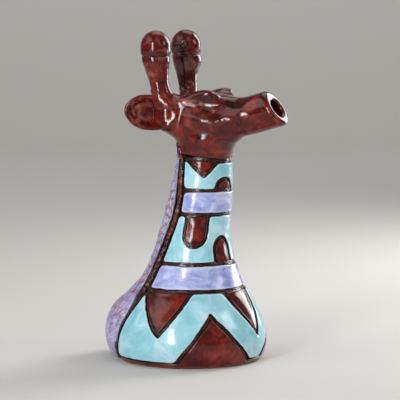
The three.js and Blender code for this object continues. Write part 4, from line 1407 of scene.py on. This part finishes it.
def skullDistance(p):
    under, top, half, square = (np.interp(p[..., 0], skullSteps, row) for row in skullRows)
    low = head["lowCheek"] * smoothStep(-30, -8, p[..., 0]) * smoothStep(52, 34, p[..., 0])
    middle = under + (0.5 - low) * (top - under)
    high = np.where(p[..., 2] > middle, top - middle, middle - under)
    a, b = np.abs(p[..., 1]) / half, np.abs(p[..., 2] - middle) / high
    f = np.maximum(a**square + b**square, 1e-6) ** (1 / square)
    ga, gb = a ** (square - 1) / half, b ** (square - 1) / high
    slope = np.maximum(np.hypot(ga, gb) * f ** (1 - square), 1e-4)
    return (f - 1) / slope * 0.97


def closedSkull(p):
    return smoothMax(skullDistance(p), -head["back"] - p[..., 0], 3)


def throatDistance(p, wall):
    height = p[..., 2] + neckTop
    x = p[..., 0] + body["neckForward"] - curves["forward"](height)
    long, wide = curves["length"](height) + wall, curves["width"](height) + wall
    f = np.maximum(np.hypot(x / long, p[..., 1] / wide), 1e-3)
    return (f - 1) * f / np.maximum(np.hypot(x / long**2, p[..., 1] / wide**2), 1e-4)


def hornDistance(p, side, grow):
    at = np.array(horn["stations"], float)
    h = np.clip(p[..., 2], 43, 90)
    x, y, r = (np.interp(h, at[:, 2], at[:, k]) for k in (0, 1, 3))
    return np.hypot(p[..., 0] - x, p[..., 1] - side * y) - r - grow


def earHollow(p, side):
    # a cup whose steep walls run in towards a rounded floor
    q = turned(p - np.array(ear["place"]) * (1, side, 1), ear["lift"], side * (180 - ear["sweep"]))
    long, deep, high = ear["hollow"]
    drawnIn = ear["draft"] * np.clip(side * q[..., 1], -1, deep)
    a, b = np.where(q[..., 0] > 0, long, ear["towardHead"]) - drawnIn, high - drawnIn
    f = np.hypot(q[..., 0] / a, q[..., 2] / b)
    wall = 0.88 * f * (f - 1) / np.maximum(np.hypot(q[..., 0] / a**2, q[..., 2] / b**2), 1e-6)
    ground = deep - ear["floorRise"] * np.clip(-q[..., 0] - 6, 0, 17)
    return smoothMax(wall, side * q[..., 1] - ground, 4.5)


def headDistance(p, detail=None):
    flat = rightSide(p)
    throat = smoothMax(throatDistance(flat, body["panel"]), flat[..., 2] - 34, 8)
    d = smoothMin(closedSkull(flat), throat, head["jawFillet"])

    def oval(key):
        shape = head[key]
        return ovalDistance(flat, np.array(shape["place"]) * (1, -1, 1), shape["radii"], shape["rise"])

    far = smoothStep(-3, 3, p[..., 1])
    d = smoothMin(d, oval("brow") + 0.8 * (1 - far), 9 - 4 * far)
    d = smoothMin(d, oval("browFoot"), 6)
    d = smoothMax(d, -oval("socket"), 9)

    # a fillet round each horn's root, wider in front, and one round each ear's
    base = horn["stations"][1]
    away = np.hypot(flat[..., 0] - base[0], flat[..., 1] + base[1])
    forward = (flat[..., 0] - base[0]) / np.maximum(away, 1)
    least, most = horn["baseFillet"]
    fillet = least + (most - least) * smoothStep(-0.6, 0.9, forward)
    grow = -0.55 + 0.9 * smoothStep(60, 50, flat[..., 2])
    stub = smoothMax(hornDistance(flat, -1, grow), flat[..., 2] - 76, 1)
    d = smoothMin(d, smoothMax(stub, 26 - flat[..., 2], 9), fillet)
    centre = np.array(ear["place"]) * (1, -1, 1)
    lobe = ovalDistance(flat, centre, np.array(ear["radii"]) - 0.7, ear["lift"], ear["sweep"] - 180)
    lobe = smoothMax(lobe, skullDistance(flat) - 6.5, 2)
    d = smoothMin(d, smoothMax(lobe, -earHollow(flat, -1) + 0.8, 4), 6)
    if detail is not None:
        d = d - detail

    # cut off at the muzzle and along the collar, and hollowed
    tilt = math.radians(head["tilt"])
    ahead, above = flat[..., 0] - head["face"][0], flat[..., 2] - head["face"][1]
    d = smoothMax(d, ahead * math.cos(tilt) + above * math.sin(tilt), head["rimRounding"] * 1.6)
    angle = np.degrees(np.arctan2(flat[..., 1], flat[..., 0]))
    bottom = collarTop - neckTop + body["groove"] / 2 + collarTilt(angle)
    d = smoothMax(d, bottom - flat[..., 2], 1.6)
    return smoothMax(d, -insideDistance(flat), head["rimRounding"])


def insideDistance(p):
    rise = math.tan(math.radians(head["snoutRise"]))
    shell = skullDistance(p) + body["wall"]
    shell = smoothMax(shell, -37 - p[..., 0], 2)
    end = head["hollowEnd"] + head["funnel"]
    boreHeight = head["face"][1] - (head["face"][0] - p[..., 0]) * rise
    bore = (np.hypot(p[..., 1], (p[..., 2] - boreHeight)) - head["mouth"]) * 0.97
    bore = np.maximum(bore, head["hollowEnd"] - 4 - p[..., 0])
    narrow = smoothStep(head["hollowEnd"], end, p[..., 0])
    shell = np.maximum(shell * (1 - narrow) + bore * narrow, p[..., 0] - end)
    throat = smoothMax(throatDistance(p, -body["wall"]), p[..., 2] - 24, 2)
    core = np.maximum(throatDistance(p, body["gap"]), p[..., 2] - 0.2)
    return np.minimum(np.minimum(np.minimum(shell, bore), throat), core)


def surfaceMesh(field, low, high, step):
    # the skin where a distance field passes nothing, as quads with one point in each crossed cell
    low = np.array(low, float)
    count = np.ceil((np.array(high, float) - low) / step).astype(int) + 1
    axes = [low[k] + step * np.arange(count[k]) for k in range(3)]
    values = np.empty(count)
    for i, x in enumerate(axes[0]):
        y, z = np.meshgrid(axes[1], axes[2], indexing="ij")
        values[i] = field(np.stack([np.full_like(y, x), y, z], -1))
    inside = values < 0
    corner = np.zeros(count - 1, int)
    for dx in (0, 1):
        for dy in (0, 1):
            for dz in (0, 1):
                corner += inside[dx:count[0] - 1 + dx, dy:count[1] - 1 + dy, dz:count[2] - 1 + dz]
    crossed = (corner > 0) & (corner < 8)
    index = -np.ones(count - 1, int)
    index[crossed] = np.arange(crossed.sum())
    cells = np.argwhere(crossed)
    total, number = np.zeros((len(cells), 3)), np.zeros(len(cells))
    for axis in range(3):
        others = [k for k in range(3) if k != axis]
        for da in (0, 1):
            for db in (0, 1):
                first = cells.copy()
                first[:, others[0]] += da
                first[:, others[1]] += db
                second = first.copy()
                second[:, axis] += 1
                a, b = values[tuple(first.T)], values[tuple(second.T)]
                cut = (a < 0) != (b < 0)
                t = np.where(cut, a / np.where(cut, a - b, 1), 0)
                place = first + 0.0
                place[:, axis] += t
                total[cut] += place[cut]
                number[cut] += 1
    points = low + step * total / number[:, None]
    quads = []
    for axis, (j, k) in enumerate(((1, 2), (2, 0), (0, 1))):
        lowEnd = np.take(inside, range(count[axis] - 1), axis)
        highEnd = np.take(inside, range(1, count[axis]), axis)
        edges = np.argwhere(lowEnd != highEnd)
        clear = (edges[:, j] > 0) & (edges[:, k] > 0)
        edges = edges[clear & (edges[:, j] < count[j] - 1) & (edges[:, k] < count[k] - 1)]
        around = []
        for dj, dk in ((-1, -1), (0, -1), (0, 0), (-1, 0)):
            cell = edges.copy()
            cell[:, j] += dj
            cell[:, k] += dk
            around.append(index[tuple(cell.T)])
        quad = np.stack(around, -1)
        outward = inside[tuple(edges.T)]
        quads.append(np.where(outward[:, None], quad, quad[:, ::-1]))
    quads = np.concatenate(quads)
    shifts = np.eye(3) * 0.15
    for _ in range(3):
        value = field(points)
        gradient = np.stack([(field(points + shift) - field(points - shift)) / 0.3 for shift in shifts], -1)
        size = np.maximum((gradient**2).sum(-1, keepdims=True), 0.3)
        points = points - np.clip(value[:, None] * gradient / size, -0.4 * step, 0.4 * step)
    return points, quads


def onSkin(tree, pixels):
    # where the photograph's pixels meet the skin, in the head's own frame
    found = []
    for px, py in pixels:
        start, way = photoRay(px, py)
        hit = tree.ray_cast(start, way, 5000)[0]
        if hit:
            found.append(np.array(hit))
    return toHead(np.array(found))


def lineDistance(points, line):
    # distance to a line of points, and how far along it
    best, along, gone = np.full(len(points), 1e9), np.zeros(len(points)), 0
    for a, b in zip(line[:-1], line[1:]):
        way = b - a
        size = np.linalg.norm(way)
        t = np.clip((points - a) @ way / size**2, 0, 1)
        away = np.linalg.norm(points - a - t[:, None] * way, axis=1)
        along = np.where(away < best, gone + t * size, along)
        best = np.minimum(best, away)
        gone += size
    return best, along


def makeHead():
    coarse, quads = surfaceMesh(headDistance, head["low"], head["high"], head["coarseStep"])
    tree = BVHTree.FromPolygons([tuple(p) for p in fromHead(coarse)], [tuple(map(int, q)) for q in quads])
    lines = {key: onSkin(tree, mark["line"]) for key, mark in head["lines"].items()}
    spots = [(onSkin(tree, [at])[0], size) for at, size in head["paleAndHighlightMarks"]]
    print("head marks found on the skin:", {key: len(value) for key, value in lines.items()})

    def ridge(p, key):
        # the height of a line's ridge, the distance to the line, and how far along it
        mark = head["lines"][key]
        away, along = lineDistance(rightSide(p), lines[key])
        return mark["relief"] * bell(away, mark["width"]), away, along

    def relief(p):
        # raised and cut-in details as a height on the skin
        shape = p.shape[:-1]
        p = p.reshape(-1, 3)
        lift = np.zeros(len(p))
        crease, away, along = ridge(p, "eyeCrease")
        ends = smoothStep(0, 4, along) * smoothStep(0, 5, 17 - along)
        lift -= crease * (0.35 + 0.65 * ends)
        lift += 0.2 * bell(away - 3.2, 1.8) * ends
        cheek, _, along = ridge(p, "cheekRidge")
        lift += cheek * (0.97 + 0.03 * np.sin(along * 4.2 + 2 * valueNoise(p, 3, 21)))
        lift += ridge(p, "lightRidge")[0]
        lift -= ridge(p, "seam")[0]
        behind = smoothStep(16, -6, p[:, 0]) * smoothStep(-34, -20, p[:, 0])
        lift += 0.22 * valueNoise(p, 13, 61) + (0.04 + 0.05 * behind) * valueNoise(p, 6.4, 62)
        return lift.reshape(shape)

    def full(p):
        near = headDistance(p)
        detail = np.zeros(near.shape)
        close = np.abs(near) < 3
        detail[close] = relief(p[close])
        return headDistance(p, detail)

    points, quads = surfaceMesh(full, head["low"], head["high"], head["step"])
    flat = rightSide(points)

    # brush strokes run round the eye, and on the throat round the neck
    eye = onSkin(tree, [head["eye"]])[0]
    turn = np.arctan2(flat[:, 2] - eye[2], flat[:, 0] - eye[0])
    away = np.hypot(flat[:, 2] - eye[2], flat[:, 0] - eye[0])
    onThroat = smoothStep(16, 6, points[:, 2])
    around = np.arctan2(points[:, 1], points[:, 0]) * 26
    radial = turn * 16 * smoothStep(2, 15, away)
    strokes = np.stack([
        radial * (1 - onThroat) + around * onThroat,
        away * (1 - onThroat) + points[:, 2] * onThroat,
        points[:, 1] * 0.3,
    ], -1)
    # paler glaze along the ridges and in spots: partly worn glaze, partly painted highlights where the cheek
    # and brow catch the light
    rubbed = np.zeros(len(points))
    broken = smoothStep(-0.5, 0.5, valueNoise(points, 3.5, 24))
    for key, reach, most in head["rubbedAndHighlightLines"]:
        rubbed = np.maximum(rubbed, most * bell(lineDistance(flat, lines[key])[0], reach) * broken)
    for at, size in spots:
        rubbed = np.maximum(rubbed, 0.4 * bell(np.linalg.norm(flat - at, axis=1), size))
    crease = bell(lineDistance(flat, lines["eyeCrease"])[0], 1.3)
    crease = np.maximum(crease, bell(lineDistance(flat, lines["seam"])[0], 0.9))
    # painted shade: the inner walls seen through the muzzle are painted near black from a little way in
    hollow = smoothStep(1.5, 0.2, insideDistance(points)) * smoothStep(0.5, 2.5, -(points[:, 0] - 70))
    mesh = newMesh("headShell", fromHead(points), [quads], {
        "brush": strokes, "dark": np.clip(np.maximum(crease * 0.9, hollow), 0, 1), "rubbed": rubbed,
    })
    addPiece("headShell", mesh, materials["brown"], "head")


def ringSurface(rows, ends):
    # points and faces of a body made of rings, closed round the middles of its ends
    count, sides = rows.shape[:2]
    points = np.concatenate([rows.reshape(-1, 3), np.array(ends)])
    return points, [gridQuads(count, sides, closed=True), endCaps(count, sides)]


def makeHorn(side, label):
    at = np.array(horn["stations"], float)
    heights = np.linspace(horn["bottom"], horn["top"], horn["levels"])
    turn = 2 * np.pi * np.arange(horn["sides"]) / horn["sides"]
    x, y, r = (smoothCurve(at[:, 2], at[:, k])(heights) for k in (0, 1, 3))
    h, t = np.meshgrid(heights, turn, indexing="ij")
    place = np.stack([12 * np.cos(t), 12 * np.sin(t) * side, h], -1)
    seed = 80 if side < 0 else 90
    sway, low = 0.8 * np.sin(2 * t), horn["ringHeight"]
    ring = 0.5 * bell(h - low - sway, 1.0) - 0.35 * bell(h - (low + 2.5) - sway, 0.8)
    lumps = 0.45 * valueNoise(place, 13, seed) + 0.2 * valueNoise(place, 5, seed + 1)
    seat = horn["crease"][label]
    top = -seat * smoothStep(89.2, 90.2, h) - 1.6 * smoothStep(52, 45, h)
    radius = r[:, None] + ring + lumps * smoothStep(46, 52, h) + top - 0.3
    if side > 0:
        front = np.maximum(np.cos(t - math.radians(30)), 0) ** 2
        radius = radius + 1.9 * bell(h - 84, 6) * front
    rows = np.stack([x[:, None] + radius * np.cos(t), side * y[:, None] + radius * np.sin(t), h], -1)
    points, faces = ringSurface(rows, [(x[k], side * y[k], heights[k]) for k in (0, -1)])
    flat = np.concatenate([h.ravel(), heights[[0, -1]]])
    around = np.concatenate([t.ravel() * 10, [0, 0]])
    crease = np.clip(2.2 * seat * smoothStep(89.4, 90.1, flat) + 0.3 * bell(flat - 60.3, 0.8), 0, 1)
    mesh = newMesh("hornStalk" + label, fromHead(points), faces, {
        "brush": np.stack([around * 1.1, flat, 0 * flat], -1), "dark": crease,
        "rubbed": 0.35 * smoothStep(0.25, 0.6, valueNoise(points, 9, seed + 4)),
    })
    addPiece("hornStalk" + label, mesh, materials["brown"], "horn_stalk_" + label.lower())


def makeKnob(side, label):
    # from the seat out to the widest ring and over the crown
    forward, aside, seat = horn["stations"][-1][:3]
    tall, wide, waist = horn["knobHeight"], horn["knobRadius"], horn["knobWaist"]
    sides = horn["knobSides"]
    turn = 2 * np.pi * np.arange(sides) / sides
    first = 0.5 * np.pi * 0.62
    angle = -first + (0.5 * np.pi * 1.62) * np.linspace(0, 1, horn["knobLevels"])
    below = waist * (1 + np.sin(angle) / math.sin(first))
    up = np.where(angle > 0, waist + (tall - waist) * np.sin(angle), below)
    out = wide * np.cos(angle) ** np.where(angle > 0, 0.92, 0.2)
    seed = 100 if side < 0 else 110
    a, t = np.meshgrid(angle, turn, indexing="ij")
    z = up[:, None] + 0 * t
    place = np.stack([13 * np.cos(a) * np.cos(t), 13 * np.cos(a) * np.sin(t) * side, 13 * np.sin(a)], -1)
    lumps = 0.42 * valueNoise(place, 12, seed) + 0.16 * valueNoise(place, 4, seed + 1)
    wrinkles = horn["wrinkle"] * np.sin(t * 26 + 3 * valueNoise(place, 6, seed + 2)) * bell(z - 3.2, 2.6)
    rough = np.zeros_like(z)
    if side > 0:
        toPatch = np.degrees(np.abs(np.angle(np.exp(1j * (t - math.radians(horn["patchTurn"]))))))
        rough = smoothStep(44, 10, toPatch) * smoothStep(15, 8, z) * smoothStep(-1, 3, z)
        warped = np.stack([t * 13, z], -1) + 1.2 * valueNoise(place, 2.5, 7)[..., None]
        pit, _ = cellNoise(warped, 2.1, 5)
        lumps = lumps - rough * (0.8 * smoothStep(0.45, 0.1, pit) + 0.25 * valueNoise(place, 1.6, 8))
    radius = np.maximum(out[:, None] + (lumps + wrinkles) * np.clip(out[:, None] / 6, 0, 1), 0) - 0.15
    radius = radius - horn["crease"][label] * smoothStep(1.4, 0, z)
    height = z + 0.3 + lumps * 0.4 * np.sin(np.clip(a, 0, 2))
    rows = np.stack([forward + radius * np.cos(t), side * aside + radius * np.sin(t), seat + height], -1)
    ends = [(forward, side * aside, level) for level in (seat + 0.3, seat + tall - 0.1)]
    points, faces = ringSurface(rows[:-1], ends)
    flat = np.concatenate([z[:-1].ravel(), [0, tall]])
    around = np.concatenate([t[:-1].ravel() * 12, [0, 0]])
    blots = rough * smoothStep(-0.5, 0.4, valueNoise(place, 2.2, 9))
    dark = np.concatenate([blots[:-1].ravel(), [0, 0]])
    dark = np.clip(dark + 2.2 * horn["crease"][label] * smoothStep(0.7, 0.1, flat), 0, 1)
    mesh = newMesh("hornKnob" + label, fromHead(points), faces, {
        "brush": np.stack([around, flat * 1.4, 0 * flat], -1), "dark": dark,
        "rubbed": 0.4 * smoothStep(0.3, 0.6, valueNoise(points, 6, seed + 4)) * smoothStep(13, 5, flat),
    })
    addPiece("hornKnob" + label, mesh, materials["brown"], "horn_knob_" + label.lower())


def earDistance(p, side):
    centre = np.array(ear["place"]) * (1, side, 1)
    turn = side * (180 - ear["sweep"])
    whole = ovalDistance(p, centre, np.array(ear["radii"]) + (0, 0.5, 0), ear["lift"], turn)
    lumps = 0.3 * valueNoise(p, 9, 120) + 0.14 * valueNoise(p, 3.5, 121)
    away = math.radians(ear["sweep"])
    outward = (p - centre) @ np.array((math.sin(away), side * math.cos(away), 0))
    cup = smoothMax(whole + 0.25 - lumps, outward - 0.6, 2.6)
    cup = smoothMax(cup, -earHollow(p, side) - 0.2 * valueNoise(p, 5, 122), 2.4)
    # clear of the skull and of the horn
    cup = smoothMax(cup, -(closedSkull(rightSide(p)) + 0.9), 0.6)
    return smoothMax(cup, -smoothMax(hornDistance(p, side, -1), 44 - p[..., 2], 1), 0.8)


def makeEar(side, label):
    def distance(p):
        return earDistance(p, side)

    centre, reach = np.array(ear["place"]) * (1, side, 1), np.array(ear["reach"])
    points, quads = surfaceMesh(distance, centre - reach, centre + reach, ear["step"])
    way = math.radians(ear["sweep"])
    long = (points - centre) @ np.array((-math.cos(way), side * math.sin(way), 0))
    inCup = smoothStep(1.2, 0.2, earHollow(points, side))
    spots = smoothStep(0.0, 0.6, valueNoise(points, 5, 131))
    worn = 0.5 * spots * smoothStep(-3, 6, long) * (0.4 + 0.6 * inCup)
    # painted highlight: pale streaks on the cup's inner wall towards the tip, where light would glint
    paintedHighlightStreaks = smoothStep(-0.1, 0.5, valueNoise(points * (1, 1, 0.45), 3, 132))
    pale = inCup * paintedHighlightStreaks * bell(long - ear["pale"], ear["highlightReach"])
    mesh = newMesh("ear" + label, fromHead(points), [quads], {
        "brush": np.stack([points[:, 2] * 1.2, long * 1.1, 0.4 * long], -1),
        # painted shade: the cup darkens towards its deep end by the head
        "dark": 0.5 * inCup * smoothStep(6, -10, long) * smoothStep(-0.6, 0.3, valueNoise(points, 5, 130)),
        # worn spots together with the painted highlight
        "rubbed": np.maximum(worn, pale),
    })
    addPiece("ear" + label, mesh, materials["brown"], "ear_" + label.lower())


makeHead()
for side, label in ((-1, "Right"), (1, "Left")):
    makeHorn(side, label)
    makeKnob(side, label)
    makeEar(side, label)

# floor, lights and backdrop

stage = {
    "middle": 0.15,  # height that the lamps look at
    "floorRadius": 2.7,
    "bend": 0.9,
    "wallTop": 2.8,
    "floorColour": (208, 206, 202),
    "wallColour": (240, 239, 236),
    "fleckColour": (214, 212, 208),
    "sky": (255, 255, 255),
    "skyLight": 0.22,
    "lamps": {  # degrees round and above the piece from the camera, metres, watts
        "right": {"turn": 130, "rise": 22, "away": 1.2, "size": (0.55, 1.05), "power": 14},
        "rightWindow": {"turn": 71, "rise": 26, "away": 1.2, "size": (0.24, 0.4), "power": 1.6},
        "window": {"turn": -27, "rise": 12, "away": 1.5, "size": (0.23, 0.8), "power": 12.5},
        "leftWindow": {"turn": -68, "rise": 36, "away": 1.4, "size": (1.1, 0.9), "power": 4.4},
        "above": {"turn": 165, "rise": 68, "away": 1.4, "size": (0.9, 0.9), "power": 4},
        "front": {"turn": 20, "rise": 40, "away": 2.4, "size": (1.0, 1.0), "power": 3},
        "backdrop": {
            "turn": 180, "rise": 45, "away": 2.4, "size": (1.6, 0.8), "power": 14,
            "aim": (180, 8, 3.6),  # turn, rise and distance of what it lights
        },
    },
}


def makeFloor():
    # a round studio floor that bends up into a low wall
    flat, bend, top = stage["floorRadius"], stage["bend"], stage["wallTop"]
    profile = [(flat * k / 6, 0) for k in range(1, 7)]
    rises = np.linspace(0.1, math.pi / 2, 12)
    profile += [(flat + bend * math.sin(rise), bend - bend * math.cos(rise)) for rise in rises]
    profile.append((flat + bend, top))
    sides = 96
    turns = [2 * math.pi * k / sides for k in range(sides)]
    points = [(0, 0, 0)]
    for radius, height in profile:
        points += [(radius * math.cos(turn), radius * math.sin(turn), height) for turn in turns]
    faces = [(0, 1 + k, 1 + (k + 1) % sides) for k in range(sides)]
    faces += [tuple(map(int, q[::-1])) for q in gridQuads(len(profile), sides, closed=True, start=1)]
    mesh = bpy.data.meshes.new("floor")
    mesh.from_pydata(points, [], faces)
    mesh.polygons.foreach_set("use_smooth", np.ones(len(mesh.polygons), bool))
    floor = bpy.data.objects.new("floor", mesh)
    bpy.context.scene.collection.objects.link(floor)
    n = Nodes("floorPaper")
    grain = n.noise(n.objectPlace(), 30, 3, 0.5)
    up = n.add("ShaderNodeSeparateXYZ", {"Vector": n.objectPlace()}).outputs["Z"]
    low, high, fleck = (linearColour(*stage[key]) for key in ("floorColour", "wallColour", "fleckColour"))
    paper = n.mix(n.mapRange(up, 0.02, 1.2), low, high)
    tone = n.mix(n.math("MULTIPLY", grain, 0.04), paper, fleck)
    shader = n.add("ShaderNodeBsdfPrincipled", {
        "Base Color": tone, "Roughness": 0.8, "Specular IOR Level": 0.2,
    })
    n.add("ShaderNodeOutputMaterial", {"Surface": shader.outputs["BSDF"]})
    mesh.materials.append(n.material)


def stagePlace(turn, rise, away):
    # a place round the piece's middle, in degrees from the camera's side and metres
    turn, rise = math.radians(cameraSetup["turn"] + turn), math.radians(rise)
    way = Vector((math.sin(turn) * math.cos(rise), -math.cos(turn) * math.cos(rise), math.sin(rise)))
    return Vector((0, 0, stage["middle"])) + way * away


def makeLight(name, setup):
    data = bpy.data.lights.new(name, "AREA")
    data.shape = "RECTANGLE"
    data.size, data.size_y = setup["size"]
    data.energy = setup["power"]
    lamp = bpy.data.objects.new(name, data)
    lamp.location = stagePlace(setup["turn"], setup["rise"], setup["away"])
    aim = stagePlace(*setup.get("aim", (0, 0, 0)))
    lamp.rotation_mode = "QUATERNION"
    lamp.rotation_quaternion = (lamp.location - aim).to_track_quat("Z", "Y")
    bpy.context.scene.collection.objects.link(lamp)


def makeSky():
    world = bpy.data.worlds.new("studio")
    bpy.context.scene.world = world
    world.use_nodes = True
    nodes, links = world.node_tree.nodes, world.node_tree.links
    nodes.clear()
    sky = nodes.new("ShaderNodeBackground")
    sky.inputs["Color"].default_value = linearColour(*stage["sky"])
    sky.inputs["Strength"].default_value = stage["skyLight"]
    links.new(sky.outputs[0], nodes.new("ShaderNodeOutputWorld").inputs["Surface"])


makeFloor()
for key, setup in stage["lamps"].items():
    makeLight(key + "Light", setup)
makeSky()
bpy.context.scene.view_settings.view_transform = "Standard"
print("stage set")
